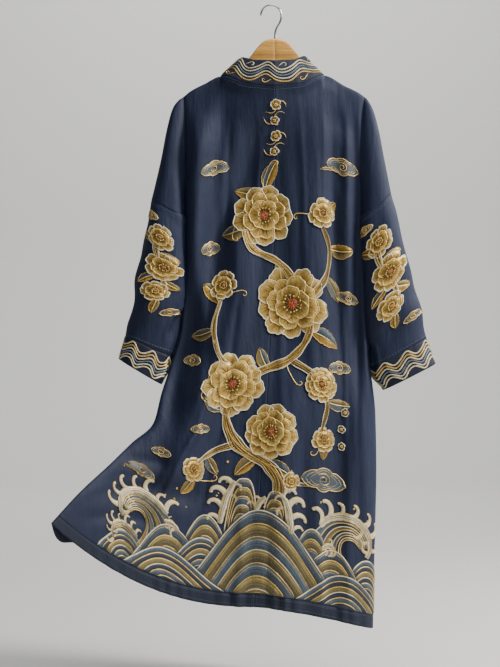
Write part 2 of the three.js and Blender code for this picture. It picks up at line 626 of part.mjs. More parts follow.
for (const side of [LEFT, RIGHT]) {
  side.backShares = backShares(side);
  const back = bodyPanel(side, true);
  const front = bodyPanel(side, false);
  add(`back_${side.name}`, back.panel, navyCloth);
  add(`front_${side.name}`, front.panel, navyCloth);
  add(`hem_back_${side.name}`, back.band, hemCloth);
  add(`hem_front_${side.name}`, front.band, hemCloth);
  const gap = sleeveShare(side, SEAM_GAP * 1.5);
  add(`sleeve_${side.name}`, sleeveTube(side, gap, CUFF_FROM - gap, 11), navyCloth);
  add(`cuff_${side.name}`, sleeveTube(side, CUFF_FROM, 1, 2), collarCloth);
  add(`hanger_wood_${side.name}`, woodHalf(side), beechWood);
  add(`collar_${side.name}`, collarSolid(side, collarStations(side, back, front)), collarCloth);
}
add("hanger_hook", hookWire(), polishedWire);

export default robe;
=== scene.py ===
"""The looks of a kimono-style robe on a wooden hanger: cloth, embroidery and hanger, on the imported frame.

Tables are in millimetres and Blender gets metres. +Z is up, the robe's back faces -Y, and the origin is the
point inside the top of the hook. "Left" and "right" are as seen from behind, so left is -X.
"""

from __future__ import annotations

import logging
import math
from collections.abc import Callable, Iterable, Sequence
from dataclasses import dataclass, field
from enum import Enum

import bpy
import numpy as np
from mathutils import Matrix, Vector

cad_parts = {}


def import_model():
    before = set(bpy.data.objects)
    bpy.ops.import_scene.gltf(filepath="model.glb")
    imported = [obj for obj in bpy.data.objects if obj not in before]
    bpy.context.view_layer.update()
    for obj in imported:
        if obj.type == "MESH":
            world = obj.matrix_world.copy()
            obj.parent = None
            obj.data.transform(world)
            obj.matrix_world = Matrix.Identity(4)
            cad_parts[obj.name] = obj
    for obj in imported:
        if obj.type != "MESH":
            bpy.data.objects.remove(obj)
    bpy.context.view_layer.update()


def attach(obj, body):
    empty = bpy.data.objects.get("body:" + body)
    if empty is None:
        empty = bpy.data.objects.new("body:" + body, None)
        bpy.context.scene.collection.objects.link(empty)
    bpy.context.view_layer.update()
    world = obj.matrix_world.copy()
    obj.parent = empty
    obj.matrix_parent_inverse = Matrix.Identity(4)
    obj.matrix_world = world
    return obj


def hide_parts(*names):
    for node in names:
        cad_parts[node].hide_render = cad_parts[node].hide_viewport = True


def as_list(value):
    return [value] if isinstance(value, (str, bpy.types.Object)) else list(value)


log = logging.getLogger("robe")
Array = np.ndarray
Material = bpy.types.Material
Object = bpy.types.Object
Place = tuple[float, float]
Colour = tuple[float, float, float]
MM = 0.001

# ---- Sizes and section tables ----

CLOTH_WALL = 1.6
SEAM_GAP = 0.4
COLLAR_WIDTH = 54.0
COLLAR_WALL = 3.0
BACK_LENGTH = 1079.0
CENTRE_TOP_Z = -173.0
VALLEY_HALF = 12.0
UNDERARM = 0.23
BAND_START = 1 - 0.0236
CUFF_FROM = 0.846
SLEEVE_LENGTH = 345.0
SLEEVE_AROUND = 245.0
FRONT_EDGE_OUT = COLLAR_WIDTH + 15.0
HOOK_RADIUS = 21.4
HOOK_CENTRE_Z = -19.4
WOOD_CENTRE_X = 8.0

# Centre line of the body: share t down the body, middle x, half depth, half depth under the shoulder ridge.
CENTRE = np.array(
    [
        (0, 8, 42, 0), (0.0012, 8, 42, 4.6), (0.004, 8, 41, 7.8), (0.008, 8, 40, 9.2),
        (0.03, 8, 38, 14), (0.06, 8, 37, 22), (0.12, 8, 39, 36), (0.24, 7, 46, 46), (0.4, 1, 56, 56),
        (0.6, -9, 64, 64), (0.8, -26, 70, 70), (1, -36, 74, 74),
    ]
)
# How square the section is at share t, and how its rows bend on the left and the right.
SHAPE = np.array(
    [
        (0, 8, 1, 1), (0.05, 7, 1, 1), (0.15, 4, 1.1, 1), (0.45, 3.2, 1.5, 1.2), (0.7, 2.8, 2.0, 1.3),
        (1, 2.6, 2.2, 1.4),
    ]
)
# The collar band's direction (aside, ahead, up) at shares of the back neckline, and down the front edge.
COLLAR_BACK = np.array([(0, 0, 0.16, 0.99), (0.5, 0.3, 0.26, 0.92), (1, 0.66, 0.4, 0.6)])
COLLAR_FRONT = np.array(
    [
        (0, 0.66, 0.4, 0.6), (0.008, 0.7, 0.46, 0.54), (0.03, 0.8, 0.4, 0.4), (0.09, 0.96, 0.22, 0.2),
        (0.24, 1, 0.04, 0.08), (0.4, 1, 0.02, 0), (1, 1, 0, 0),
    ]
)
FRONT_EDGE = np.array([(0, 1), (0.06, 0.84), (0.14, 0.44), (0.22, 0.1), (0.3, 0), (1, 0)])


class Face(Enum):
    """Which side of the robe a wall or fold belongs to."""

    BACK = -1
    FRONT = 1


@dataclass(frozen=True)
class Fold:
    """A soft ridge (height above 0) or trough in a face, from (x0, z0) to (x1, z1)."""

    face: Face
    x0: float
    z0: float
    x1: float
    z1: float
    width: float
    height: float


def _folds(face: Face, rows: Iterable[tuple[float, ...]]) -> list[Fold]:
    """Folds of one face from rows of x0, z0, x1, z1, width and height."""
    return [Fold(face, *row) for row in rows]


FOLDS = _folds(
    Face.BACK,
    [
        (-108, -230, -118, -640, 30, 15), (-48, -300, -190, -800, 32, -24),
        (-122, -760, -222, -1030, 34, 18), (-150, -1010, -350, -1000, 26, -14),
        (128, -230, 150, -820, 20, -11), (172, -230, 196, -1180, 18, 8), (40, -760, 20, -1290, 34, 10),
        (120, -860, 128, -1300, 30, -9), (-86, -300, -92, -600, 12, -4), (-122, -800, -166, -915, 8, 5),
        (-160, -900, -226, -1024, 9, 6), (-330, -925, -215, -962, 15, -7),
        (-372, -1052, -254, -1066, 12, -5), (145, -225, 150, -400, 9, -4),
        (176, -512, 184, -932, 8, -4), (-158, -245, -172, -430, 9, 4), (36, -330, 46, -640, 15, 3),
        (-20, -420, -38, -700, 14, -3), (78, -480, 86, -820, 12, 3.5), (66, -930, 74, -1295, 12, -4),
        (-58, -980, -70, -1270, 12, 4.5), (98, -1020, 104, -1300, 10, 4),
        (-96, -560, -128, -700, 10, 4), (158, -900, 166, -1290, 10, 4), (16, -260, 0, -780, 84, -23),
        (136, -300, 144, -1060, 30, -9), (-156, -240, -164, -620, 22, 15),
        (-104, -230, -116, -640, 26, -25), (176, -240, 188, -800, 18, -34),
        (-24, -235, -30, -520, 7, 2.2), (-84, -260, -100, -520, 6, -2.4), (62, -240, 70, -560, 7, 2.4),
        (108, -235, 118, -480, 6, 2.2), (-66, -610, -96, -860, 8, -3), (22, -640, 22, -960, 8, 2.6),
        (-104, -880, -150, -1060, 8, -3), (-190, -930, -262, -1040, 10, 4),
        (-286, -900, -330, -1050, 14, -5), (-250, -980, -395, -1010, 10, 4),
        (150, -640, 156, -900, 6, 2.5), (-6, -1080, -10, -1300, 9, -3.4),
        (186, -960, 190, -1290, 8, -3.4), (-128, -700, -150, -800, 16, -5),
        (-182, -540, -204, -860, 24, -24), (-140, -600, -150, -840, 12, 6),
    ],
) + _folds(
    Face.FRONT,
    [
        (-120, -300, -150, -900, 28, -16), (-90, -600, -230, -1180, 34, 18),
        (112, -300, 120, -1290, 26, -14), (160, -420, 176, -1290, 24, 12),
        (-100, -260, -104, -620, 10, 5), (-150, -760, -260, -1120, 12, -6),
        (96, -700, 92, -1280, 10, 5), (140, -560, 146, -1000, 9, 5), (-118, -900, -140, -1230, 12, 5),
    ],
)


@dataclass(frozen=True)
class SideTable:
    """One side's tables: edge (t, x, y, z, thin), top (w, z), arm and sleeve loops, and the sleeve's lap.

    A loop row is (share, outer x, outer z, inner x, inner z, half depth). The lap's rows (z, x) are the line
    on the sleeve's back at which its outer layer ends, with the inner end of the sleeve set back behind it.
    """

    name: str
    sign: int
    neck: float
    lift_column: int
    edge: Array
    top: Array
    arm: Array
    sleeve: Array
    lap: Array


LEFT = SideTable(
    name="left",
    sign=-1,
    neck=0.597,
    lift_column=2,
    edge=np.array(
        [
            (0, -183, 0, -190, 1), (0.05, -181, 0, -246, 1), (0.12, -181, 0, -323, 1),
            (0.24, -181, 0, -453, 1), (0.35, -182, 0, -573, 1), (0.45, -190, 0, -680, 0.95),
            (0.52, -210, -8, -752, 0.85), (0.58, -229, -28, -812, 0.75), (0.645, -245, -60, -874, 0.62),
            (0.72, -286, -95, -911, 0.5), (0.8, -328, -140, -952, 0.42), (0.9, -384, -200, -1004, 0.36),
            (1, -437, -250, -1062, 0.32),
        ]
    ),
    top=np.array([(0, -173), (0.3, -167), (0.597, -148), (0.77, -163), (0.93, -179), (1, -190)]),
    arm=np.array(
        [
            (0, -187, -193, -185, -192, 0), (0.04, -193, -197, -187, -200, 7),
            (0.15, -206, -214, -192, -222, 14), (0.35, -218, -255, -197, -272, 22),
            (0.6, -231, -322, -197, -345, 31), (0.8, -241, -366, -188, -402, 37),
            (1, -251, -407, -182, -449, 41),
        ]
    ),
    sleeve=np.array(
        [
            (0, -251, -407, -181.9, -449, 41), (0.157, -261, -460, -182.2, -502, 45),
            (0.316, -271, -514, -182.7, -550, 47), (0.5, -283, -577, -183.6, -596, 46),
            (0.614, -290, -615, -186.4, -626, 43), (0.704, -296, -645, -190.5, -651, 41),
            (0.78, -302, -670, -195, -682, 41), (0.845, -306, -692, -210.5, -737, 42),
            (1, -320, -740, -229, -794, 45),
        ]
    ),
    lap=np.array(
        [
            (-800, -226), (-745, -224), (-712, -213), (-684, -218), (-660, -209), (-642, -196),
            (-618, -178),
        ]
    ),
)
RIGHT = SideTable(
    name="right",
    sign=1,
    neck=0.551,
    lift_column=3,
    edge=np.array(
        [
            (0, 195, 0, -190, 1), (0.05, 189, 0, -246, 1), (0.12, 187, 0, -323, 1),
            (0.2, 189, 0, -414, 1), (0.3, 195, 0, -525, 1), (0.4, 199, 0, -636, 1),
            (0.5, 207, 0, -747, 1), (0.6, 219, 0, -859, 1), (0.7, 221, 0, -970, 1),
            (0.8, 219, 0, -1081, 1), (0.9, 216, 0, -1193, 1), (1, 214, 0, -1304, 1),
        ]
    ),
    top=np.array([(0, -173), (0.28, -167), (0.551, -146), (0.786, -168), (0.93, -181), (1, -190)]),
    arm=np.array(
        [
            (0, 199, -193, 197, -192, 0), (0.04, 204, -199, 196, -201, 7),
            (0.15, 215, -220, 195, -226, 14), (0.35, 227, -265, 194, -276, 22),
            (0.6, 237, -318, 194, -342, 31), (0.8, 245, -359, 194, -398, 37),
            (1, 252, -395, 191.7, -450, 41),
        ]
    ),
    sleeve=np.array(
        [
            (0, 252, -395, 191.6, -450, 41), (0.135, 264, -443, 194.5, -498, 45),
            (0.26, 276, -487, 197, -550, 47), (0.377, 286, -529, 198.6, -598, 47),
            (0.495, 297, -571, 200.5, -645, 45), (0.596, 305, -607, 204.2, -687, 42),
            (0.683, 313, -638, 207.5, -705, 41), (0.773, 320, -670, 209.5, -730, 41),
            (0.847, 326, -697, 212.5, -760, 42), (1, 345, -750, 234, -806, 45),
        ]
    ),
    lap=np.array(
        [
            (-812, 222), (-790, 217), (-768, 227), (-745, 224), (-716, 219), (-700, 206), (-690, 196),
        ]
    ),
)

# ---- Small maths ----


class Column:
    """A smooth function through the rows of a table, whose slopes never overshoot them."""

    def __init__(self, places: Array, values: Array) -> None:
        """Fits the slopes.

        Args:
            places: Rising places of the rows.
            values: Value at each place.
        """
        self.places, self.values = np.asarray(places, float), np.asarray(values, float)
        steps = np.diff(self.values) / np.diff(self.places)
        slopes = np.concatenate([steps[:1], np.zeros(len(steps) - 1), steps[-1:]])
        before, after = steps[:-1], steps[1:]
        same = before * after > 0
        slopes[1:-1][same] = 2 * (before * after)[same] / (before + after)[same]
        self.slopes = slopes

    def __call__(self, place: Array | float) -> Array:
        """The value at one or many places.

        Args:
            place: The places.

        Returns:
            A value for each.
        """
        x = np.asarray(place, float)
        i = np.clip(np.searchsorted(self.places, x, side="right") - 1, 0, len(self.places) - 2)
        h = self.places[i + 1] - self.places[i]
        s = np.clip((x - self.places[i]) / h, 0, 1)
        rise = self.values[i + 1] - self.values[i]
        bend = (self.slopes[i] * (1 - s) - self.slopes[i + 1] * s) * h - rise * (1 - 2 * s)
        return self.values[i] + rise * s + bend * s * (1 - s)


def columns(table: Array) -> list[Column]:
    """A smooth function for each column of a table after its first."""
    return [Column(table[:, 0], table[:, i]) for i in range(1, table.shape[1])]


def ease(s: Array | float) -> Array:
    """A smooth step from 0 to 1."""
    c = np.clip(s, 0, 1)
    return c * c * (3 - 2 * c)


def unit(v: Array) -> Array:
    """Vectors along the last axis, made one long."""
    return v / np.maximum(np.linalg.norm(v, axis=-1, keepdims=True), 1e-9)


def joined(*parts: Array) -> Array:
    """Coordinates side by side, as points or corner numbers."""
    return np.stack(parts, axis=-1)


def distances(points: Array) -> Array:
    """Distance along a row of points, from 0 at its first."""
    return np.concatenate([[0], np.linalg.norm(np.diff(points, axis=0), axis=1).cumsum()])


def circle(count: int) -> Array:
    """Flat places evenly spaced round a circle of radius 1."""
    turn = np.linspace(0, 2 * math.pi, count, endpoint=False)
    return joined(np.cos(turn), np.sin(turn))


def toward(angle: float) -> Array:
    """The flat direction at an angle."""
    return np.array([math.cos(angle), math.sin(angle)])


def sideways(line: Array) -> Array:
    """Directions square to a flat line, one for each of its places."""
    step = np.gradient(line, axis=0)
    return unit(joined(-step[:, 1], step[:, 0]))


def grid_quads(index: Array) -> Array:
    """Corner numbers of the faces of a grid of point numbers."""
    return joined(index[:-1, :-1], index[:-1, 1:], index[1:, 1:], index[1:, :-1]).reshape(-1, 4)


def spread(points: Array, shares: Array) -> Array:
    """Points of a row at shares of its length.

    Args:
        points: The row, N by 3.
        shares: Rising shares from 0 to 1.

    Returns:
        The new points, one for each share.
    """
    along = distances(points)
    at = shares * along[-1]
    return joined(*(np.interp(at, along, points[:, i]) for i in range(points.shape[1])))


def grid_normals(grid: Array, outward: Array) -> Array:
    """Unit normals of a grid of points, turned to the same side as a sample direction field.

    Args:
        grid: Rows by columns by 3.
        outward: A direction, or one for each point, on the wanted side.

    Returns:
        Rows by columns by 3.
    """
    down = np.gradient(grid, axis=0)
    across = np.gradient(grid, axis=1)
    normal = unit(np.cross(across, down))
    if np.sum(normal * outward) < 0:
        normal = -normal
    return normal


# ---- The robe's form ----


class BodySide:
    """One side of the robe: its cross-sections, walls, dropped shoulder and sleeve loops."""

    SAMPLES = 420
    ARM_SAMPLES = 61
    LOOP_SQUARE = 2.6
    GATHER_HEIGHT = 1.5
    GATHER_SHARE = 0.022

    def __init__(self, table: SideTable, neck_columns: int, shoulder_columns: int) -> None:
        """Reads the tables and spaces the columns of the back.

        Args:
            table: The side's sections.
            neck_columns: Columns along the neckline.
            shoulder_columns: Columns along the shoulder.
        """
        self.table, self.sign = table, table.sign
        self.centre_x, self.centre_half, self.ridge_half = columns(CENTRE)
        self.square = Column(SHAPE[:, 0], SHAPE[:, 1])
        self.lift = Column(SHAPE[:, 0], SHAPE[:, table.lift_column])
        self.edge_x, self.edge_y, self.edge_z, self.thin = columns(table.edge)
        (self.top_z,) = columns(table.top)
        (self.from_neck,) = columns(FRONT_EDGE)
        self.neck_columns = neck_columns
        self.back_shares = self._back_shares(neck_columns, shoulder_columns)

    def fold_height(self, face: Face, x: Array, z: Array) -> Array:
        """How far the folds of a face stand out at (x, z).

        Args:
            face: Back or front.
            x: Places from left to right.
            z: Their heights.

        Returns:
            A height for each place.
        """
        out = np.zeros_like(x)
        for f in FOLDS:
            if f.face is not face:
                continue
            dx, dz = f.x1 - f.x0, f.z1 - f.z0
            length = math.hypot(dx, dz)
            along = ((x - f.x0) * dx + (z - f.z0) * dz) / length**2
            across = ((x - f.x0) * dz - (z - f.z0) * dx) / length
            wander = across + f.width * 0.25 * np.sin(along * 5.3 + f.x0)
            fade = ease((along + 0.2) / 0.4) * ease((1.2 - along) / 0.4)
            out += f.height * fade * np.exp(-((wander / f.width) ** 2))
        return out

    def point(self, t: float, angle: Array) -> Array:
        """Points of the section at share t.

        Args:
            t: Share down the body.
            angle: 0 at the centre back, pi / 2 at the edge and pi at the centre front.

        Returns:
            One point for each angle.
        """
        n = float(self.square(t))
        w = np.sin(angle) ** (2 / n)
        fullness = np.abs(np.cos(angle)) ** (2 / n)
        back = angle <= math.pi / 2
        to_back = np.where(back, -1.0, 1.0)
        x = self.centre_x(t) * (1 - w) + self.edge_x(t) * w
        neckline = self.top_z(w) - (CENTRE_TOP_Z * (1 - w) + self.edge_z(0.0) * w)
        corner = np.maximum(0, angle - math.pi / 2) / 0.6
        near = float(ease((t - 0.86) / 0.14)) if self.sign < 0 else 0.0
        drop = 24 * near * ease(corner * 2.2) * ease(2 - 2 * corner)
        bend = w ** float(self.lift(t))
        plain = (CENTRE_TOP_Z - BACK_LENGTH * t) * (1 - bend) + self.edge_z(t) * bend
        z = plain + neckline * (1 - t) ** 4 - drop
        crisp = 1 - np.sqrt(np.maximum(0, 1 - (w / self.table.neck) ** 2)) ** 0.8
        shoulder = crisp + (ease(w / self.table.neck / 1.5) - crisp) * ease((t - 0.002) / 0.022)
        half = self.centre_half(t) * (1 - shoulder) + self.ridge_half(t) * shoulder
        half = half * (1 + (self.thin(t) - 1) * w)
        fold = np.where(back, self.fold_height(Face.BACK, x, z), self.fold_height(Face.FRONT, x, z))
        fold = fold * (1 - w**10) * ease(t / 0.08)
        gathers = np.sin(x / 4.3 + 1.7 * np.sin(x / 31)) * (0.75 + 0.5 * np.sin(x / 19))
        gathered = ease((t - BAND_START + self.GATHER_SHARE) / self.GATHER_SHARE)
        fold = fold + self.GATHER_HEIGHT * gathers * gathered * (1 - w**10)
        y = self.edge_y(t) * w**1.7 + to_back * (half * fullness + fold + SEAM_GAP / 2)
        return joined(x, y, z)

    def wall_end(self, t: float) -> float:
        """The angle at which the back wall ends: in the valley by the arm, or at the side seam below.

        Args:
            t: Share down the body.

        Returns:
            An angle of the section.
        """
        open_share = min(0.4, VALLEY_HALF / max(float(self.ridge_half(t)), 1.0))
        open_share *= 1 - float(ease((t - UNDERARM) / 0.0032))
        return math.acos(max(open_share, 1e-3) ** (float(self.square(t)) / 2))

    def neck_x(self) -> float:
        """The x of the point where neckline and shoulder meet."""
        return float(self.centre_x(0) * (1 - self.table.neck) + self.edge_x(0) * self.table.neck)

    def _back_shares(self, inner: int, outer: int) -> Array:
        """Shares of the back rows at which columns lie, with one on the end of the neckline.

        Args:
            inner: Columns along the neckline.
            outer: Columns along the shoulder.

        Returns:
            Rising shares from 0 to 1.
        """
        row = self.point(0.0, np.linspace(0, self.wall_end(0), self.SAMPLES))
        lengths = np.linalg.norm(np.diff(row, axis=0), axis=1)
        before = self.sign * (row[1:, 0] - self.neck_x()) <= 0
        neck = lengths[before].sum() / lengths.sum()
        return np.concatenate([np.linspace(0, neck, inner + 1), np.linspace(neck, 1, outer + 1)[1:]])

    def back_row(self, t: float) -> Array:
        """A row of the back wall, from the centre seam outwards.

        Args:
            t: Share down the body.

        Returns:
            One point for each column.
        """
        row = spread(self.point(t, np.linspace(0, self.wall_end(t), self.SAMPLES)), self.back_shares)
        row[0, 0] += self.sign * SEAM_GAP / 2
        return row

    def front_row(self, t: float, count: int) -> Array:
        """A row of the front wall, from its inner edge outwards.

        Args:
            t: Share down the body.
            count: Steps between its columns.

        Returns:
            One point for each column.
        """
        arc = self.point(t, np.linspace(math.pi, math.pi - self.wall_end(t), self.SAMPLES))
        plain = float(self.centre_x(t)) + self.sign * FRONT_EDGE_OUT
        share = float(self.from_neck(t))
        edge = plain * (1 - share) + self.neck_x() * share
        first = int(np.argmax(self.sign * (arc[:, 0] - edge) > 0))
        a, b = arc[first - 1], arc[first]
        start = a + (b - a) * (edge - a[0]) / (b[0] - a[0])
        return spread(np.vstack([start, arc[first:]]), np.linspace(0, 1, count + 1))

    def loop(self, rows: Array, share: float, angle: Array) -> Array:
        """Points of an arm or sleeve loop.

        Args:
            rows: The loop table.
            share: Share down the arm or sleeve.
            angle: 0 at its outer end and pi at its inner end, with the back in between.

        Returns:
            One point for each angle.
        """
        outer_x, outer_z, inner_x, inner_z, half = (float(c(share)) for c in columns(rows))
        c, d = np.cos(angle), np.sin(angle)
        power = 2 / self.LOOP_SQUARE
        across = (1 - np.sign(c) * np.abs(c) ** power) / 2
        y = -np.sign(d) * np.abs(d) ** power * half
        return joined(outer_x + (inner_x - outer_x) * across, y, outer_z + (inner_z - outer_z) * across)

    def arm_row(self, t: float, valley: Array, face: Face, count: int) -> Array:
        """The dropped shoulder's row on the upper arm, from the valley out to the arm's ridge.

        Args:
            t: Share down the body.
            valley: Where the body's row ends.
            face: Back or front.
            count: How many columns.

        Returns:
            One point for each column.
        """
        angles = np.linspace(math.pi * 0.94, 0, self.ARM_SAMPLES)
        arc = self.loop(self.table.arm, t / UNDERARM, angles)
        arc[:, 1] = face.value * (np.abs(arc[:, 1]) + SEAM_GAP / 2)
        arc += (valley - arc[0]) * ((1 - np.linspace(0, 1, self.ARM_SAMPLES)) ** 3)[:, None]
        return spread(arc, np.linspace(0, 1, count + 1))[1:]

    def seam_direction(self, t: float) -> Array:
        """The direction in which the section points where its walls meet at the side seam."""
        across = (self.edge_x(t) - self.centre_x(t)) * 0.1
        return unit(np.array([float(across), float(self.edge_y(t)) * (1 - 0.9**1.7), 0.0]))


class GridField:
    """A piece of the robe's skin, on which stitches are laid by distance across and distance down."""

    def __init__(self, points: Array, normals: Array, downs: Array, closed: bool = False) -> None:
        """Measures the rows.

        Args:
            points: Rows by columns by 3, with a closed tube's first column repeated at its end.
            normals: Outward normals of those points.
            downs: Rising distance down for each row.
            closed: Whether the rows are loops.
        """
        self.points, self.normals, self.downs, self.closed = points, normals, downs, closed
        steps = np.linalg.norm(np.diff(points, axis=1), axis=2)
        self.along = np.concatenate([np.zeros((len(points), 1)), np.cumsum(steps, axis=1)], axis=1)

    def lift(self, across: Array, down: Array, height: Array | float) -> Array:
        """Points of the skin, stood off it.

        Args:
            across: Distance from the rows' first point, or a share from 0 to 1 on a closed tube.
            down: Distance down.
            height: How far to stand off the skin.

        Returns:
            Points in millimetres.
        """
        row = np.interp(down, self.downs, np.arange(len(self.downs)))
        j = np.clip(row.astype(int), 0, len(self.downs) - 2)
        f = (row - j)[:, None]
        out = []
        for k in (j, j + 1):
            total = self.along[k, -1]
            goal = (np.mod(across, 1.0) if self.closed else across / total) * total
            line = self.along[k]
            i = np.clip((line < goal[:, None]).sum(axis=1) - 1, 0, line.shape[1] - 2)
            rows = np.arange(len(goal))
            a, b = line[rows, i], line[rows, i + 1]
            g = np.clip((goal - a) / np.maximum(b - a, 1e-6), 0, 1)[:, None]
            out.extend(table[k, i] * (1 - g) + table[k, i + 1] * g for table in (self.points, self.normals))
        p0, n0, p1, n1 = out
        normal = unit(n0 * (1 - f) + n1 * f)
        return p0 * (1 - f) + p1 * f + normal * np.asarray(height, float).reshape(-1, 1)


# ---- Shader maths ----


class Val:
    """A number inside a material, with arithmetic that adds Math nodes."""

    def __init__(self, graph: Graph, socket: bpy.types.NodeSocket) -> None:
        """Wraps a socket of a graph."""
        self.graph, self.socket = graph, socket

    def _math(self, operation: str, a: Val | float, b: Val | float) -> Val:
        """Adds a Math node on two values."""
        return self.graph.node("ShaderNodeMath", {"operation": operation}, {0: a, 1: b}).value(0)

    def __add__(self, other: Val | float) -> Val:
        """Sum."""
        return self._math("ADD", self, other)

    __radd__ = __add__

    def __sub__(self, other: Val | float) -> Val:
        """Difference."""
        return self._math("SUBTRACT", self, other)

    def __rsub__(self, other: Val | float) -> Val:
        """Difference from a plain number."""
        return self._math("SUBTRACT", other, self)

    def __mul__(self, other: Val | float) -> Val:
        """Product."""
        return self._math("MULTIPLY", self, other)

    __rmul__ = __mul__

    def clamped(self) -> Val:
        """The value held between 0 and 1."""
        return self._math("MINIMUM", self._math("MAXIMUM", self, 0.0), 1.0)


class NodeHandle:
    """A node that was added, whose outputs are read by number or name."""

    def __init__(self, graph: Graph, node: bpy.types.Node) -> None:
        """Keeps the node."""
        self.graph, self.node = graph, node

    def value(self, output: int | str) -> Val:
        """One of its outputs."""
        return Val(self.graph, self.node.outputs[output])


class Graph:
    """The nodes of one material."""

    def __init__(self, name: str) -> None:
        """Makes a material with a Principled shader.

        Args:
            name: The material's name.
        """
        self.material = bpy.data.materials.new(name)
        self.material.use_nodes = True
        self.tree = self.material.node_tree
        self.tree.nodes.clear()
        output = self.tree.nodes.new("ShaderNodeOutputMaterial")
        self.shader = self.tree.nodes.new("ShaderNodeBsdfPrincipled")
        self.tree.links.new(self.shader.outputs[0], output.inputs[0])

    def node(self, kind: str, settings: dict[str, object], sockets: dict[int | str, object]) -> NodeHandle:
        """Adds a node.

        Args:
            kind: The node's type.
            settings: Properties that are set first, such as an operation, or "stops" of a ramp.
            sockets: Values or links of its inputs.

        Returns:
            A handle on the node.
        """
        node = self.tree.nodes.new(kind)
        for name, setting in settings.items():
            if name == "stops":
                self._stops(node, setting)
            else:
                setattr(node, name, setting)
        for name, value in sockets.items():
            self._feed(node.inputs[name], value)
        return NodeHandle(self, node)

    def _stops(self, node: bpy.types.Node, stops: Sequence[tuple[float, Colour]]) -> None:
        """Sets a colour ramp's stops.

        Args:
            node: The ramp.
            stops: Place and colour of each stop.
        """
        elements = node.color_ramp.elements
        while len(elements) < len(stops):
            elements.new(0.5)
        for element, (place, colour) in zip(elements, stops):
            element.position, element.color = place, (*colour, 1)

    def _feed(self, socket: bpy.types.NodeSocket, value: object) -> None:
        """Links a value to a socket, or sets it.

        Args:
            socket: The input.
            value: A value of the graph, or a plain one.
        """
        if isinstance(value, Val):
            self.tree.links.new(value.socket, socket)
        else:
            socket.default_value = value

    def shade(self, **sockets: object) -> None:
        """Feeds the Principled shader's sockets, named with underscores."""
        for name, value in sockets.items():
            self._feed(self.shader.inputs[name.replace("_", " ").title().replace("Ior", "IOR")], value)

    def stretched(self, source: Val, scale: tuple[float, float, float]) -> Val:
        """Coordinates multiplied by a scale along each axis."""
        return self.node("ShaderNodeMapping", {}, {"Vector": source, "Scale": scale}).value(0)

    def noise(self, vector: Val, scale: float, detail: float, roughness: float = 0.5) -> Val:
        """Noise from 0 to 1."""
        sockets = {"Vector": vector, "Scale": scale, "Detail": detail, "Roughness": roughness}
        return self.node("ShaderNodeTexNoise", {}, sockets).value(0)

    def ramp(self, value: Val, stops: Sequence[tuple[float, Colour]]) -> Val:
        """A colour for a value."""
        return self.node("ShaderNodeValToRGB", {"stops": stops}, {"Fac": value}).value(0)

    def mix(self, share: Val | float, a: object, b: object) -> Val:
        """A mix of two colours.

        Args:
            share: How much of the second.
            a: The first colour.
            b: The second colour.

        Returns:
            The colour.
        """
        node = self.node("ShaderNodeMix", {"data_type": "RGBA"}, {0: share})
        self._feed(node.node.inputs[6], a)
        self._feed(node.node.inputs[7], b)
        return node.value(2)

    def bump(self, height: Val, distance: float, strength: float, **over: Val) -> Val:
        """A normal from a height, over a "Normal" that is there already."""
        sockets = {"Height": height, "Distance": distance, "Strength": strength, **over}
        return self.node("ShaderNodeBump", {}, sockets).value(0)

    def uv(self) -> Val:
        """The piece's own UV map, in metres."""
        return self.node("ShaderNodeUVMap", {"uv_map": "UVMap"}, {}).value(0)

    def place(self) -> Val:
        """Object coordinates."""
        return self.node("ShaderNodeTexCoord", {}, {}).value("Object")

    def tone(self) -> Val:
        """The piece's "tone" attribute, from 0 to 1: the threads' own lightness, with painted shade and
        painted highlight across the fills.
        """
        settings = {"attribute_name": "tone", "attribute_type": "GEOMETRY"}
        return self.node("ShaderNodeAttribute", settings, {}).value("Fac")


def srgb(code: str) -> tuple[float, float, float]:
    """Linear colour of a hex code.

    Args:
        code: Six hex digits.

    Returns:
        Red, green and blue.
    """
    parts = [int(code[i : i + 2], 16) / 255 for i in (0, 2, 4)]
    r, g, b = (c / 12.92 if c <= 0.04045 else ((c + 0.055) / 1.055) ** 2.4 for c in parts)
    return (r, g, b)


def opaque(code: str) -> tuple[float, float, float, float]:
    """Linear colour of a hex code, with alpha."""
    return (*srgb(code), 1.0)


@dataclass(frozen=True)
class ClothFinish:
    """Satin-faced cotton with faint upright slubs."""

    name: str
    dark: str
    light: str
    roughness: float = 0.66
    slub: float = 0.62

    def build(self) -> Material:
        """Makes the material.

        Returns:
            The material.
        """
        g = Graph(self.name)
        uv, place = g.uv(), g.place()
        threads = g.noise(g.stretched(uv, (900, 46, 1)), 1.0, 3.0, 0.6)
        slubs = g.noise(g.stretched(uv, (210, 9, 1)), 1.0, 2.0, 0.55)
        blotch = g.noise(place, 7.0, 3.0, 0.6)
        twill = g.noise(g.stretched(uv, (1500, 420, 1)), 1.0, 1.0)
        mix = (threads * 0.42 + slubs * 0.34 + blotch * 0.34 - 0.1).clamped()
        worn = g.noise(place, 38.0, 4.0, 0.7)
        pale = (mix * self.slub + worn * 0.22).clamped()
        colour = g.mix(pale, opaque(self.dark), opaque(self.light))
        puckers = g.noise(place, 17.0, 3.0, 0.55)
        drape = g.noise(g.stretched(place, (1, 1, 0.12)), 30.0, 3.0, 0.58)
        fine = g.noise(g.stretched(place, (1, 1, 0.3)), 90.0, 2.0, 0.5)
        soft = g.bump(puckers * 0.5 + drape + fine * 0.16, 0.0065, 0.55)
        normal = g.bump(threads * 0.6 + twill * 0.4, 0.0004, 0.5, Normal=soft)
        g.shade(base_color=colour, roughness=threads * 0.12 + (self.roughness - 0.06), normal=normal)
        g.shade(sheen_weight=0.06, sheen_roughness=0.45, sheen_tint=opaque("8a9cc4"))
        g.shade(specular_ior_level=0.32)
        return g.material


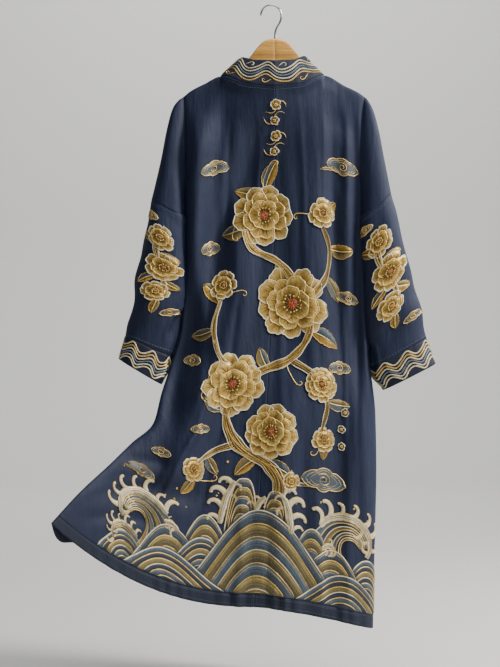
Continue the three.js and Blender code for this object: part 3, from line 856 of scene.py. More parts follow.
@dataclass(frozen=True)
class ThreadFinish:
    """Embroidery thread laid side by side: stripes across u show each stitch."""

    name: str
    dark: str
    mid: str
    light: str
    metal: float
    roughness: float
    pitch: float = 1.5
    relief: float = 0.5

    def build(self) -> Material:
        """Makes the material.

        Returns:
            The material.
        """
        g = Graph(self.name)
        uv, place, tone = g.uv(), g.place(), g.tone()
        strands = g.noise(g.stretched(uv, (1000 / self.pitch, 70, 1)), 1.0, 2.0, 0.6)
        drift = g.noise(place, 55.0, 2.0, 0.5)
        # The per-point lightness adds painted shade and painted highlight across each fill to the threads'
        # own colour.
        level = (strands * 0.7 + drift * 0.25 + tone * 0.85 - 0.5).clamped()
        colour = g.ramp(level, [(0.05, srgb(self.dark)), (0.5, srgb(self.mid)), (0.92, srgb(self.light))])
        g.shade(base_color=colour, metallic=self.metal, roughness=strands * 0.16 + self.roughness)
        g.shade(normal=g.bump(strands, 0.0009 * self.relief, 0.8))
        return g.material


@dataclass(frozen=True)
class WoodFinish:
    """Varnished beech."""

    name: str
    dark: str
    light: str

    def build(self) -> Material:
        """Makes the material.

        Returns:
            The material.
        """
        g = Graph(self.name)
        place = g.place()
        grain = g.noise(g.stretched(place, (14, 90, 220)), 1.0, 4.0, 0.6)
        rings = g.noise(g.stretched(place, (5, 30, 60)), 1.0, 2.0, 0.5)
        flecks = g.noise(g.stretched(place, (160, 400, 900)), 1.0, 2.0, 0.5)
        level = (grain * 0.55 + rings * 0.5 - flecks * 0.12).clamped()
        colour = g.ramp(level, [(0.28, srgb(self.dark)), (0.7, srgb(self.light))])
        g.shade(base_color=colour, roughness=grain * 0.14 + 0.3, normal=g.bump(grain, 0.0005, 0.5))
        g.shade(coat_weight=0.5, coat_roughness=0.12)
        return g.material


@dataclass(frozen=True)
class WireFinish:
    """Bright plated wire with faint draw marks."""

    name: str
    colour: str

    def build(self) -> Material:
        """Makes the material.

        Returns:
            The material.
        """
        g = Graph(self.name)
        marks = g.noise(g.stretched(g.place(), (300, 300, 40)), 1.0, 3.0)
        g.shade(base_color=opaque(self.colour), metallic=1.0, roughness=marks * 0.16 + 0.1)
        g.shade(normal=g.bump(marks, 0.00015, 0.4))
        return g.material


@dataclass(frozen=True)
class FloorFinish:
    """Plain pale paper."""

    name: str
    colour: str

    def build(self) -> Material:
        """Makes the material.

        Returns:
            The material.
        """
        g = Graph(self.name)
        g.shade(base_color=opaque(self.colour), roughness=0.85)
        return g.material


# ---- Meshes ----


def make_object(
    name: str, points: Array, faces: Sequence[Sequence[int]] | Array, uvs: Array, material: Material
) -> Object:
    """Makes a smooth mesh object at the origin.

    Args:
        name: The piece's name.
        points: Vertices, in millimetres.
        faces: Corner indices of its faces.
        uvs: One UV for each vertex, in millimetres.
        material: Its finish.

    Returns:
        The object.
    """
    mesh = bpy.data.meshes.new(name)
    mesh.from_pydata((points * MM).tolist(), [], faces if isinstance(faces, list) else faces.tolist())
    layer = mesh.uv_layers.new(name="UVMap")
    corners = np.empty(len(mesh.loops), dtype=np.int32)
    mesh.loops.foreach_get("vertex_index", corners)
    layer.data.foreach_set("uv", (uvs[corners] * MM).astype(np.float32).ravel())
    mesh.polygons.foreach_set("use_smooth", np.ones(len(mesh.polygons), dtype=bool))
    mesh.materials.append(material)
    mesh.update()
    made = bpy.data.objects.new(name, mesh)
    bpy.context.scene.collection.objects.link(made)
    return made


class Wall:
    """A closed cloth wall between an outer and an inner skin, with rounded rims."""

    RIM_BULGE = 0.3

    def __init__(self, outer: Array, normals: Array, wall: float, index: Array, uvs: Array) -> None:
        """Takes the skins.

        Args:
            outer: Outer points, N by 3.
            normals: Where each inner point lies from its outer one, as a direction out.
            wall: Thickness.
            index: A grid of point numbers, -1 where there is none; a closed tube repeats its first column.
            uvs: N by 2, in millimetres.
        """
        self.outer, self.inner = outer, outer - normals * wall
        self.normals, self.wall, self.uvs = normals, wall, uvs
        quads = grid_quads(index)
        quads = quads[(quads >= 0).all(axis=1)]
        p = outer[quads]
        face_normal = np.cross(p[:, 1] - p[:, 0], p[:, 3] - p[:, 0])
        if np.sum(face_normal * normals[quads[:, 0]]) < 0:
            quads = quads[:, ::-1]
        self.quads = quads

    def build(self, name: str, material: Material) -> Object:
        """Makes the object with its outer skin, inner skin and rim.

        Args:
            name: The piece's name.
            material: Its finish.

        Returns:
            The object.
        """
        n = len(self.outer)
        quads = self.quads
        edges = {}
        for face in quads.tolist():
            for i in range(4):
                pair = (face[i], face[(i + 1) % 4])
                back = (pair[1], pair[0])
                if back in edges:
                    del edges[back]
                else:
                    edges[pair] = face[(i + 2) % 4]
        push = np.zeros((n, 3))
        for (a, b), other in edges.items():
            away = (self.outer[a] + self.outer[b]) / 2 - self.outer[other]
            push[a] += away
            push[b] += away
        rim = np.unique(np.array(list(edges)).ravel())
        number = {int(v): 2 * n + i for i, v in enumerate(rim)}
        away = push[rim] - self.normals[rim] * np.sum(push[rim] * self.normals[rim], axis=1, keepdims=True)
        middle = (self.outer[rim] + self.inner[rim]) / 2 + unit(away) * self.wall * self.RIM_BULGE
        faces = quads.tolist() + (quads[:, ::-1] + n).tolist()
        for a, b in edges:
            ma, mb = number[a], number[b]
            faces.append([b, a, ma, mb])
            faces.append([mb, ma, a + n, b + n])
        points = np.vstack([self.outer, self.inner, middle])
        uvs = np.vstack([self.uvs, self.uvs, self.uvs[rim]])
        return make_object(name, points, faces, uvs, material)


@dataclass
class PanelSkin:
    """The fine points of a body panel with its dropped shoulder."""

    rows: Array
    body: Array
    arm: Array
    body_normals: Array
    arm_normals: Array


@dataclass(frozen=True)
class Cut:
    """A piece's flat cut in metres: its width and length, and its area where it isn't a rectangle."""

    width: float
    length: float
    area: float | None = None


@dataclass
class RobeCloth:
    """All cloth of the robe, in the solids' form with finer folds."""

    finishes: dict[str, Material]
    neck_columns: int = 56
    shoulder_columns: int = 48
    front_columns: int = 66
    arm_columns: int = 18
    sleeve_columns: int = 120
    sleeve_rows: int = 66
    cuff_rows: int = 14
    loop_samples: int = 301
    valley_rounds: int = 9
    turn_in: float = 2.6
    turn_in_rise: float = 5.0
    turn_in_share: float = 0.014
    hug_gap: float = 0.6
    hug_reach: float = 20.0
    hug_limits: Place = (-1.5, 7.0)
    lap_depth: float = 15.0
    lap_lip: float = 2.2
    long_crease: float = 2.6
    cross_crease: float = 2.2
    band_puff: float = 0.5
    skins: dict[tuple[str, Face], PanelSkin] = field(default_factory=dict)
    fields: dict[str, GridField] = field(default_factory=dict)
    pieces: dict[str, Object] = field(default_factory=dict)
    holders: dict[str, Sequence[str]] = field(default_factory=dict)

    CUTS = {
        "back_left": Cut(0.5, 1.06, 0.29),
        "back_right": Cut(0.33, 1.06, 0.28),
        "front_left": Cut(0.5, 1.06, 0.223),
        "front_right": Cut(0.26, 1.06, 0.207),
        "hem_back_left": Cut(0.5, 0.026),
        "hem_back_right": Cut(0.3, 0.026),
        "hem_front_left": Cut(0.5, 0.026),
        "hem_front_right": Cut(0.23, 0.026),
        "sleeve_left": Cut(0.33, 0.31, 0.088),
        "sleeve_right": Cut(0.36, 0.31, 0.095),
        "cuff_left": Cut(0.32, 0.055),
        "cuff_right": Cut(0.36, 0.055),
        "collar_left": Cut(2.52, 0.057),
    }

    def __post_init__(self) -> None:
        """Reads both sides' tables and spaces the rows of the panels."""
        self.sides = {t.name: BodySide(t, self.neck_columns, self.shoulder_columns) for t in (LEFT, RIGHT)}
        shoulder = [0, 0.0005, 0.0012, 0.0022, 0.004, 0.006, 0.008, 0.011]
        self.panel_rows = np.array(
            shoulder
            + list(np.linspace(0.015, UNDERARM, 46))
            + [UNDERARM + 0.0008, UNDERARM + 0.0016, UNDERARM + 0.0032]
            + list(np.linspace(UNDERARM + 0.006, BAND_START - 0.0004, 150))
        )
        self.band_rows = np.linspace(BAND_START, 1, 7)

    def build(self) -> None:
        """Builds every panel, band, sleeve, cuff and the collar."""
        for name, side in self.sides.items():
            for face in Face:
                self._panel(name, side, face)
            sleeve = np.linspace(SEAM_GAP / 350, CUFF_FROM - 0.0016, self.sleeve_rows)
            self._tube(name, side, "sleeve", sleeve)
            self._tube(name, side, "cuff", np.linspace(CUFF_FROM, 1.0, self.cuff_rows))
        self._collar()

    def _rows(self, side: BodySide, face: Face, rows: Array) -> tuple[Array, Array]:
        """Points of the body and arm columns for some rows.

        Args:
            side: That side's form.
            face: Back or front.
            rows: Shares down the body.

        Returns:
            Points of the body, and of the arm as far as it goes.
        """
        if face is Face.BACK:
            body = np.array([side.back_row(t) for t in rows])
        else:
            body = np.array([side.front_row(t, self.front_columns) for t in rows])
        on_arm = rows <= UNDERARM + 1e-9
        pairs = zip(rows[on_arm], body[on_arm])
        return body, np.array([side.arm_row(t, p[-1], face, self.arm_columns) for t, p in pairs])

    def _skin(self, side: BodySide, face: Face, rows: Array) -> PanelSkin:
        """The points and outward normals of a panel and its hem band.

        Args:
            side: That side's form.
            face: Back or front.
            rows: Shares down the body.

        Returns:
            The skin.
        """
        body, arm = self._rows(side, face, rows)
        outward = np.array([0.0, float(face.value), 0.0])
        body_n = grid_normals(body, outward)
        count = len(arm)
        both = self._soften(np.concatenate([body[:count], arm], axis=1), body.shape[1] - 1, rows[:count])
        body[:count], arm = both[:, : body.shape[1]], both[:, body.shape[1] :]
        both_n = grid_normals(both, outward)
        body_n[:count] = both_n[:, : body.shape[1]]
        arm_n = both_n[:, body.shape[1] :].copy()
        for j, t in enumerate(rows):
            if t > UNDERARM:
                body_n[j, -1] = side.seam_direction(float(t))
        arm_n[:, -1, 1] = 0
        neck = side.neck_columns if face is Face.BACK else 0
        body_n[0, :neck, 2] = 0
        body_n[0, neck:, 1] = 0
        arm_n[0, :, 1] = 0
        if face is Face.BACK:
            body_n[:, 0, 0] = 0
        return PanelSkin(rows, body, arm, unit(body_n), unit(arm_n))

    def _soften(self, grid: Array, valley: int, rows: Array) -> Array:
        """Rounds out the valley between body and arm.

        Args:
            grid: Points of the body and arm columns.
            valley: The valley's column.
            rows: The rows' shares.

        Returns:
            The grid with its depths evened out there.
        """
        past = np.arange(grid.shape[1]) - valley
        near = ease(1.25 - np.where(past < 0, -past / 13.0, past / 4.0))
        share = near[None, :] * (1 - ease((rows - 0.15) / 0.07))[:, None]
        share *= ease(rows / 0.012)[:, None]
        y = grid[..., 1].copy()
        for _ in range(self.valley_rounds):
            y[:, 1:-1] += share[:, 1:-1] * (y[:, :-2] + y[:, 2:] - 2 * y[:, 1:-1]) / 4
        grid = grid.copy()
        grid[..., 1] = y
        return grid

    def _keep(self, piece: Object, nodes: Sequence[str], slot: str, holders: Sequence[str]) -> None:
        """Hangs a cloth piece under the root, hides the solids that it replaces and notes what it hangs from.

        Args:
            piece: The piece.
            nodes: The solids that it replaces.
            slot: Not used.
            holders: What it hangs from.
        """
        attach(piece, "root")
        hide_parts(*nodes)
        self.pieces[nodes[0]], self.holders[nodes[0]] = piece, holders
        surface = sum(p.area for p in piece.data.polygons) / 2
        log.info("%s: %d faces, %.4f square metres", piece.name, len(piece.data.polygons), surface)

    def declare(self, sewn: dict[str, list[Object]]) -> None:
        """Gathers each cloth piece's flat cut, what it hangs from and the needlework sewn to it; nothing
        further is done with them.

        Args:
            sewn: Needlework pieces by the solid whose cloth carries them.
        """
        for node, piece in self.pieces.items():
            cut = self.CUTS[node]
            flat, holders = (cut.width, cut.length), list(self.holders[node])
            worked = sewn.get(node, [])
            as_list(holders)
            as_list(worked)

    def _panel(self, name: str, side: BodySide, face: Face) -> None:
        """A back or front panel with its dropped shoulder, and the hem band below it.

        Args:
            name: Which side.
            side: That side's form.
            face: Back or front.
        """
        rows = np.concatenate([self.panel_rows, self.band_rows])
        skin = self._skin(side, face, rows)
        self.skins[name, face] = skin
        kind = "back" if face is Face.BACK else "front"
        self.fields[f"{kind}_{name}"] = GridField(skin.body, skin.body_normals, rows * BACK_LENGTH)
        last = len(self.panel_rows)
        wood = [f"hanger_half_{name}"]
        panel = self._wall(skin, slice(0, last)).build(f"{kind}_{name}_cloth", self.finishes["robe"])
        self._keep(panel, [f"{kind}_{name}"], "robe_cloth", wood)
        band = self._wall(skin, slice(last, None)).build(f"hem_{kind}_{name}_cloth", self.finishes["hem"])
        self._keep(band, [f"hem_{kind}_{name}"], "hem_cloth", [panel.name])

    def _wall(self, skin: PanelSkin, part: slice) -> Wall:
        """The wall of some rows of a skin.

        Args:
            skin: The skin.
            part: Which rows of it.

        Returns:
            The wall, with the arm's columns if its rows start at the top.
        """
        body, body_n, rows = skin.body[part], skin.body_normals[part], skin.rows[part]
        index = np.arange(body.shape[0] * body.shape[1]).reshape(body.shape[:2])
        across = np.linalg.norm(np.diff(body, axis=1), axis=2).cumsum(axis=1)
        across = np.concatenate([np.zeros((len(body), 1)), across], axis=1)
        down = np.repeat(rows[:, None] * BACK_LENGTH, body.shape[1], axis=1)
        points, normals = [body.reshape(-1, 3)], [body_n.reshape(-1, 3)]
        uvs = [joined(across, down).reshape(-1, 2)]
        if part.start == 0:
            arm, arm_n = skin.arm, skin.arm_normals
            numbers = np.arange(arm.shape[0] * arm.shape[1]).reshape(arm.shape[:2]) + index.size
            pad = np.full((index.shape[0], arm.shape[1]), -1)
            pad[: len(arm)] = numbers
            index = np.concatenate([index, pad], axis=1)
            from_valley = np.concatenate([body[: len(arm), -1:], arm], axis=1)
            steps = np.linalg.norm(np.diff(from_valley, axis=1), axis=2)
            arm_across = across[: len(arm), -1:] + steps.cumsum(axis=1)
            points.append(arm.reshape(-1, 3))
            normals.append(arm_n.reshape(-1, 3))
            arm_down = np.repeat(down[: len(arm), :1], arm.shape[1], axis=1)
            uvs.append(joined(arm_across, arm_down).reshape(-1, 2))
        return Wall(np.vstack(points), np.vstack(normals), CLOTH_WALL, index, np.vstack(uvs))

    def _tube(self, name: str, side: BodySide, kind: str, vs: Array) -> None:
        """A stretch of the sleeve, as a tube.

        Args:
            name: Which side.
            side: That side's tables.
            kind: "sleeve" or "cuff".
            vs: Shares down the sleeve at which its rows lie.
        """
        shares = np.linspace(0, 1, self.sleeve_columns + 1)
        angles = math.pi + np.linspace(0, 2 * math.pi, self.loop_samples)
        grid = np.array([spread(side.loop(side.table.sleeve, v, angles), shares) for v in vs])
        grid = self._lap(grid, side)
        grid = self._hug(grid, vs, side)
        grid = self._sleeve_folds(grid, vs, side)
        middle = grid.mean(axis=1, keepdims=True)
        if kind == "sleeve":
            turned_in = grid[:1] + unit((middle - grid)[:1]) * self.turn_in
            turned_in[..., 2] += self.turn_in_rise
            grid = np.concatenate([turned_in, grid])
            vs = np.concatenate([[vs[0] - self.turn_in_share], vs])
            middle = grid.mean(axis=1, keepdims=True)
        ring = np.concatenate([grid[:, -2:-1], grid, grid[:, 1:2]], axis=1)
        normals = grid_normals(ring, ring - middle)[:, 1:-1]
        downs = vs * SLEEVE_LENGTH
        self.fields[f"{kind}_{name}"] = GridField(grid, normals, downs, closed=True)
        size = (len(vs), self.sleeve_columns)
        index = np.arange(size[0] * size[1]).reshape(size)
        index = np.concatenate([index, index[:, :1]], axis=1)
        across = np.broadcast_to(shares[:-1] * SLEEVE_AROUND, size)
        uvs = joined(across, np.broadcast_to(downs[:, None], size)).reshape(-1, 2)
        outer, outward = grid[:, :-1].reshape(-1, 3), normals[:, :-1].reshape(-1, 3)
        wall = Wall(outer, outward, CLOTH_WALL, index, uvs)
        finish, slot = ("robe", "robe_cloth") if kind == "sleeve" else ("band", "band_cloth")
        piece = wall.build(f"{kind}_{name}_cloth", self.finishes[finish])
        holder = f"back_{name}_cloth" if kind == "sleeve" else f"sleeve_{name}_cloth"
        self._keep(piece, [f"{kind}_{name}"], slot, [holder])

    def _hug(self, grid: Array, vs: Array, side: BodySide) -> Array:
        """Presses a sleeve's inner end close to the body's rounded side, where they hang side by side.

        Args:
            grid: Points of the sleeve.
            vs: Shares down the sleeve.
            side: That side's form.

        Returns:
            The points, moved.
        """
        depths = np.linspace(-44, 0, 23)
        ts = np.linspace(0.2, 0.7, 51)
        profile = np.empty((len(ts), len(depths)))
        for row, t in enumerate(ts):
            arc = side.point(float(t), np.linspace(0.5, math.pi / 2, 200))
            back = np.maximum.accumulate(arc[:, 1])
            profile[row] = np.interp(depths, back, arc[:, 0] * side.sign)
        zs = side.edge_z(ts)
        inner = grid[:, :1]
        row = np.interp(-grid[..., 2], -zs, np.arange(len(ts)))
        column = np.interp(grid[..., 1], depths, np.arange(len(depths)))
        i, j = np.clip(row.astype(int), 0, len(ts) - 2), np.clip(column.astype(int), 0, len(depths) - 2)
        f, g = row - i, column - j
        low = profile[i, j] * (1 - g) + profile[i, j + 1] * g
        high = profile[i + 1, j] * (1 - g) + profile[i + 1, j + 1] * g
        room = grid[..., 0] * side.sign - (low * (1 - f) + high * f) - self.hug_gap
        near = np.exp(-(((grid[..., 0] - inner[..., 0]) / self.hug_reach) ** 2))
        fade = ease((0.985 - vs) / 0.08)[:, None]
        grid = grid.copy()
        grid[..., 0] -= side.sign * np.clip(room, *self.hug_limits) * near * fade
        return grid

    def _lap(self, grid: Array, side: BodySide) -> Array:
        """Sets the inner end of a sleeve's back behind the layer that laps over it.

        Args:
            grid: Points of the sleeve.
            side: That side's form.

        Returns:
            The points, moved.
        """
        lap = side.table.lap
        x, z = grid[..., 0], grid[..., 2]
        line = np.interp(z, lap[:, 0], lap[:, 1])
        inside = (line - x) * side.sign
        on_back = ease((-grid[..., 1] - 6) / 14)
        room = ease((lap[-1, 0] - z) / 22)
        lip = self.lap_lip * np.exp(-(((inside + 3.2) / 2.6) ** 2))
        sink = self.lap_depth * ease((inside + 1.5) / 4.5) - lip
        grid = grid.copy()
        grid[..., 1] += sink * on_back * room * np.clip((-grid[..., 1] + 4) / 40, 0, 1)
        return grid

    def _sleeve_folds(self, grid: Array, vs: Array, side: BodySide) -> Array:
        """Soft slanting creases round a sleeve, that fade at its ends and where it lies by the body.

        Args:
            grid: Points of the sleeve.
            vs: Shares down the sleeve.
            side: That side's form.

        Returns:
            The points, moved.
        """
        around = np.linspace(0, 1, grid.shape[1])[None, :]
        v = vs[:, None]
        inner = np.minimum(around, 1 - around) * 2
        clear = ease((inner - 0.12) / 0.25)
        fade = ease(v / 0.12) * ease((CUFF_FROM - v) / 0.1)
        creases = self.long_crease * np.sin(21 * v + 9.5 * around + side.sign)
        creases = creases * np.exp(-(((v - 0.55) / 0.3) ** 2))
        creases += self.cross_crease * np.sin(11 * v - 14 * around + 2 * side.sign)
        middle = grid.mean(axis=1, keepdims=True)
        out = unit(grid - middle)
        out[..., 2] = 0
        return grid + out * (creases * clear * fade)[..., None]

    def _collar(self) -> None:
        """The collar band, from the left front hem round the neck to the right front hem."""
        halves = []
        for name, side in self.sides.items():
            back, front = self.skins[name, Face.BACK], self.skins[name, Face.FRONT]
            count = self.neck_columns
            seams = np.vstack([back.body[0, :count], front.body[:, 0]])
            seam_normals = np.vstack([back.body_normals[0, :count], front.body_normals[:, 0]])
            at_back = [c(np.arange(count) / count) for c in columns(COLLAR_BACK)]
            at_front = [c(front.rows) for c in columns(COLLAR_FRONT)]
            aside, ahead, up = (np.concatenate([b, f]) for b, f in zip(at_back, at_front))
            direction = unit(joined(-side.sign * aside, ahead, up))
            halves.append((seams + direction * 1.3 * SEAM_GAP, direction, seam_normals))
        (ls, ld, ln), (rs, rd, rn) = halves
        ls[0, 0] = rs[0, 0] = WOOD_CENTRE_X
        seams = np.vstack([ls[:0:-1], rs])
        direction = np.vstack([ld[:0:-1], rd])
        across = np.linspace(0, 1, 13)
        grid = seams[:, None] + direction[:, None] * (across * COLLAR_WIDTH)[None, :, None]
        away = np.vstack([ln[:0:-1], rn])
        normals = grid_normals(grid, np.repeat(away[:, None], len(across), axis=1))
        puff = self.band_puff * np.sin(across * math.pi)[None, :, None]
        outer = grid + normals * (COLLAR_WALL - 1.8 + puff)
        along = distances(grid[:, len(across) // 2])
        along -= along[len(ls) - 1]
        self.fields["collar"] = GridField(outer, normals, along)
        index = np.arange(len(grid) * len(across)).reshape(len(grid), len(across))
        uvs = joined(*np.broadcast_arrays(across[None, :] * COLLAR_WIDTH, along[:, None])).reshape(-1, 2)
        wall = Wall(outer.reshape(-1, 3), normals.reshape(-1, 3), COLLAR_WALL, index, uvs)
        piece = wall.build("collar_cloth", self.finishes["band"])
        holders = ["back_left_cloth", "back_right_cloth"]
        self._keep(piece, ["collar_left", "collar_right"], "band_cloth", holders)


# ---- Embroidery ----


SEA_LINE = BACK_LENGTH * BAND_START - 2.0


class Thread(Enum):
    """The embroidery threads."""

    GOLD = "gold"
    IVORY = "ivory"
    BLUE = "blue"
    TAN = "tan"
    RED = "red"
    NAVY = "navy"


class BackSkin:
    """The whole back as one skin: across is 0 on the centre seam and positive to the right.

    A place past a side seam lies on the front panel beyond it.
    """

    def __init__(self, fields: dict[str, GridField]) -> None:
        """Keeps the panels' skins."""
        self.fields = fields

    def lift(self, across: Array, down: Array, height: Array) -> Array:
        """Points of the back, stood off it.

        Args:
            across: Distance from the centre seam.
            down: Distance down.
            height: How far to stand off.

        Returns:
            Points in millimetres.
        """
        out = np.zeros((len(across), 3))
        for name, sign in (("left", -1), ("right", 1)):
            here = (across * sign > 0) | ((across == 0) & (sign > 0))
            back, front = self.fields[f"back_{name}"], self.fields[f"front_{name}"]
            reach = np.interp(down, back.downs, back.along[:, -1])
            far = here & (np.abs(across) > reach)
            near = here & ~far
            out[near] = back.lift(np.abs(across[near]), down[near], height[near])
            span = np.interp(down[far], front.downs, front.along[:, -1])
            inward = np.maximum(span - (np.abs(across[far]) - reach[far]), 0)
            out[far] = front.lift(inward, down[far], height[far])
        return out


class CollarSkin:
    """The collar band: across runs along it from the centre back, down from its outer edge to its seam."""

    def __init__(self, band: GridField) -> None:
        """Keeps the band's skin."""
        self.band = band

    def lift(self, across: Array, down: Array, height: Array) -> Array:
        """Points of the band, stood off it."""
        return self.band.lift(COLLAR_WIDTH - down, across, height)


class TubeSkin:
    """A sleeve or cuff: across is a distance round it from the middle of its back, down from its seam."""

    def __init__(self, tube: GridField, sign: int, centre: float = 0.0) -> None:
        """Keeps the tube's skin and where across 0 lies on it."""
        self.tube, self.sign, self.centre = tube, sign, centre

    def lift(self, across: Array, down: Array, height: Array) -> Array:
        """Points of the tube, stood off it."""
        return self.tube.lift(0.75 + self.sign * (across + self.centre) / SLEEVE_AROUND, down, height)


class StitchWork:
    """Raised stitches on one skin, gathered by thread.

    SINK is how far the edges of stitches go into the cloth below their base. The others are the length of a
    sewing stitch, the gap after it, and the spacing of the places along a sewn row and a cord.
    """

    SINK = 0.35
    STITCH = 2.6
    GAP = 1.8
    ROW_STEP = 0.9
    CORD_STEP = 3.2

    def __init__(self, name: str, skin: BackSkin | CollarSkin | TubeSkin) -> None:
        """Starts with no stitches.

        Args:
            name: What its pieces' names start with.
            skin: What it is sewn to.
        """
        self.name, self.skin = name, skin
        self.parts: dict[Thread, list[tuple[Array, Array, Array, Array]]] = {}
        self.counts: dict[Thread, int] = {}
        self.screen: Callable[[Array], Array] | None = None

    def loft(
        self,
        thread: Thread,
        near: Array,
        far: Array,
        puff: float,
        base: float,
        tone: Place,
        closed: bool = False,
    ) -> None:
        """Fills the ground between two lines with satin stitches that cross it.

        Args:
            thread: Which thread.
            near: Flat places (across, down) of one edge.
            far: As many places of the other edge.
            puff: How far its middle stands above base.
            base: Height of its edges.
            tone: Lightness at the near and the far edge: the threads' own lightness, with painted shade where
                the fill runs dark towards one edge.
            closed: Whether its last place meets its first.
        """
        width = float(np.median(np.linalg.norm(far - near, axis=1)))
        if width < 3.2:
            shares, heights = np.array([0, 0.22, 0.78, 1.0]), np.array([0, 0.85, 0.85, 0.0])
        elif width < 14:
            shares, heights = np.array([0, 0.12, 0.5, 0.88, 1.0]), np.array([0, 0.7, 1, 0.7, 0.0])
        else:
            count = int(min(12, 3 + width // 5))
            inner = np.linspace(0.05, 0.95, count)
            shares = np.concatenate([[0], inner, [1]])
            heights = np.concatenate([[0], 0.7 + 0.3 * np.sin(inner * math.pi), [0]])
        n, k = len(near), len(shares)
        flat = near[:, None] * (1 - shares)[None, :, None] + far[:, None] * shares[None, :, None]
        end = np.ones(n)
        if not closed:
            end[[0, -1]] = 0
        height = base - self.SINK * (heights[None, :] == 0) + puff * heights[None, :] * end[:, None]
        places = flat.reshape(-1, 2)
        points = self.skin.lift(places[:, 0], places[:, 1], np.broadcast_to(height, (n, k)).ravel())
        along = distances((near + far) / 2)
        uv = joined(*np.broadcast_arrays(along[:, None], shares[None, :] * width)).reshape(-1, 2)
        uv = uv + np.array([37.0, 11.0]) * self.counts.get(thread, 0) % 900
        # Lightness runs from edge to edge across the fill, holding its painted shade and painted highlight.
        tones_and_shades = np.broadcast_to(tone[0] * (1 - shares) + tone[1] * shares, (n, k)).ravel()
        index = np.arange(n * k).reshape(n, k)
        if closed:
            index = np.concatenate([index, index[:1]])
        quads = grid_quads(index)
        if self.screen is not None:
            quads = quads[~self.screen(places)[quads].all(axis=1)]
        start = sum(len(p[0]) for p in self.parts.get(thread, []))
        self.parts.setdefault(thread, []).append((points, quads + start, uv, tones_and_shades))
        self.counts[thread] = self.counts.get(thread, 0) + 1

    def ribbon(
        self, thread: Thread, spine: Array, half: Array | float, puff: float, base: float, tone: float
    ) -> None:
        """A band of stitches along a line.

        Args:
            thread: Which thread.
            spine: Flat places along its middle.
            half: Half width, for all or each of them.
            puff: How far it stands out.
            base: Height of its edges.
            tone: Lightness.
        """
        side = sideways(spine) * np.broadcast_to(half, (len(spine),))[:, None]
        self.loft(thread, spine - side, spine + side, puff, base, (tone, tone))

    def cord(self, thread: Thread, spine: Array, half: float, base: float, tone: float = 0.6) -> None:
        """A couched cord along a line, with tapered ends.

        Args:
            thread: Which thread.
            spine: Flat places along it.
            half: Half its width.
            base: Height of its edges.
            tone: Lightness.
        """
        line = even(spine, self.CORD_STEP)
        share = np.linspace(0, 1, len(line))
        taper = np.clip(np.minimum(share, 1 - share) * len(line) / 2.5, 0.25, 1)
        self.ribbon(thread, line, half * taper, half * 1.1, base, tone)

    def dot(self, thread: Thread, at: Array, radius: float, base: float, tone: float = 0.6) -> None:
        """A raised dot."""
        rim = circle(10) * radius
        self.loft(thread, at + rim, at + rim * 0.05, radius * 0.5, base, (tone, tone), True)

    def dashes(self, line: Array) -> None:
        """A row of sewing stitches along a line.

        Args:
            line: Flat places along it.
        """
        fine = even(line, self.ROW_STEP)
        pace = int(round((self.STITCH + self.GAP) / self.ROW_STEP))
        keep = max(3, int(round(self.STITCH / self.ROW_STEP)) + 1)
        for start in range(0, len(fine) - keep, pace):
            self.ribbon(Thread.NAVY, fine[start : start + keep], 0.5, 0.55, 0.12, 1.0)

    def finish(self, finishes: dict[Thread, Material]) -> list[Object]:
        """Makes one piece for each thread, whose faces look away from the robe's middle plane.

        Args:
            finishes: The threads' materials.

        Returns:
            The pieces.
        """
        made = []
        for thread, parts in self.parts.items():
            points, quads, uvs, tones_and_shades = (np.concatenate([p[i] for p in parts]) for i in range(4))
            first = points[quads[:, 1]] - points[quads[:, 0]]
            second = points[quads[:, 3]] - points[quads[:, 0]]
            facing = np.cross(first, second)[:, 1] * np.sign(points[quads[:, 0], 1] + 1e-9)
            quads = np.where((facing < 0)[:, None], quads[:, ::-1], quads)
            piece = make_object(f"{self.name}_{thread.value}", points, quads, uvs, finishes[thread])
            # Stores that lightness, painted shade and highlight included, for the thread's material.
            layer = piece.data.attributes.new("tone", "FLOAT", "POINT")
            layer.data.foreach_set("value", tones_and_shades.astype(np.float32))
            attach(piece, "root")
            made.append(piece)
            log.info("%s: %d faces", piece.name, len(quads))
        return made


def even(line: Array, step: float) -> Array:
    """A line's points respaced to about a step apart.

    Args:
        line: Flat places.
        step: About how far apart.

    Returns:
        The new places.
    """
    along = distances(line)
    at = np.linspace(0, along[-1], max(4, int(along[-1] / step) + 1))
    return joined(np.interp(at, along, line[:, 0]), np.interp(at, along, line[:, 1]))


def smooth(points: Sequence[Place], step: float = 3.0) -> Array:
    """A smooth curve through some places.

    Args:
        points: The places.
        step: About how far apart its points are.

    Returns:
        Flat places along it.
    """
    p = np.array(points, float)
    p = np.vstack([2 * p[0] - p[1], p, 2 * p[-1] - p[-2]])
    s = np.linspace(0, 1, 14, endpoint=False)[:, None]
    out = []
    for a, b, c, d in zip(p, p[1:], p[2:], p[3:]):
        out.append(b + 0.5 * s * (c - a + s * (2 * a - 5 * b + 4 * c - d + s * (3 * (b - c) + d - a))))
    return even(np.vstack([*out, p[-2:-1]]), step)


def turned(points: Array, at: Place | Array, angle: float) -> Array:
    """Flat points turned and moved."""
    c, s = math.cos(angle), math.sin(angle)
    return points @ np.array([[c, s], [-s, c]]) + np.asarray(at)


def spiral(turns: float, start: float, end: float, count: int) -> Array:
    """A flat spiral from radius start to end.

    Args:
        turns: How many turns.
        start: First radius.
        end: Last radius.
        count: How many places.

    Returns:
        Flat places along it.
    """
    share = np.linspace(0, 1, count)
    angle, radius = share * turns * 2 * math.pi, start + (end - start) * share
    return joined(np.cos(angle) * radius, np.sin(angle) * radius)


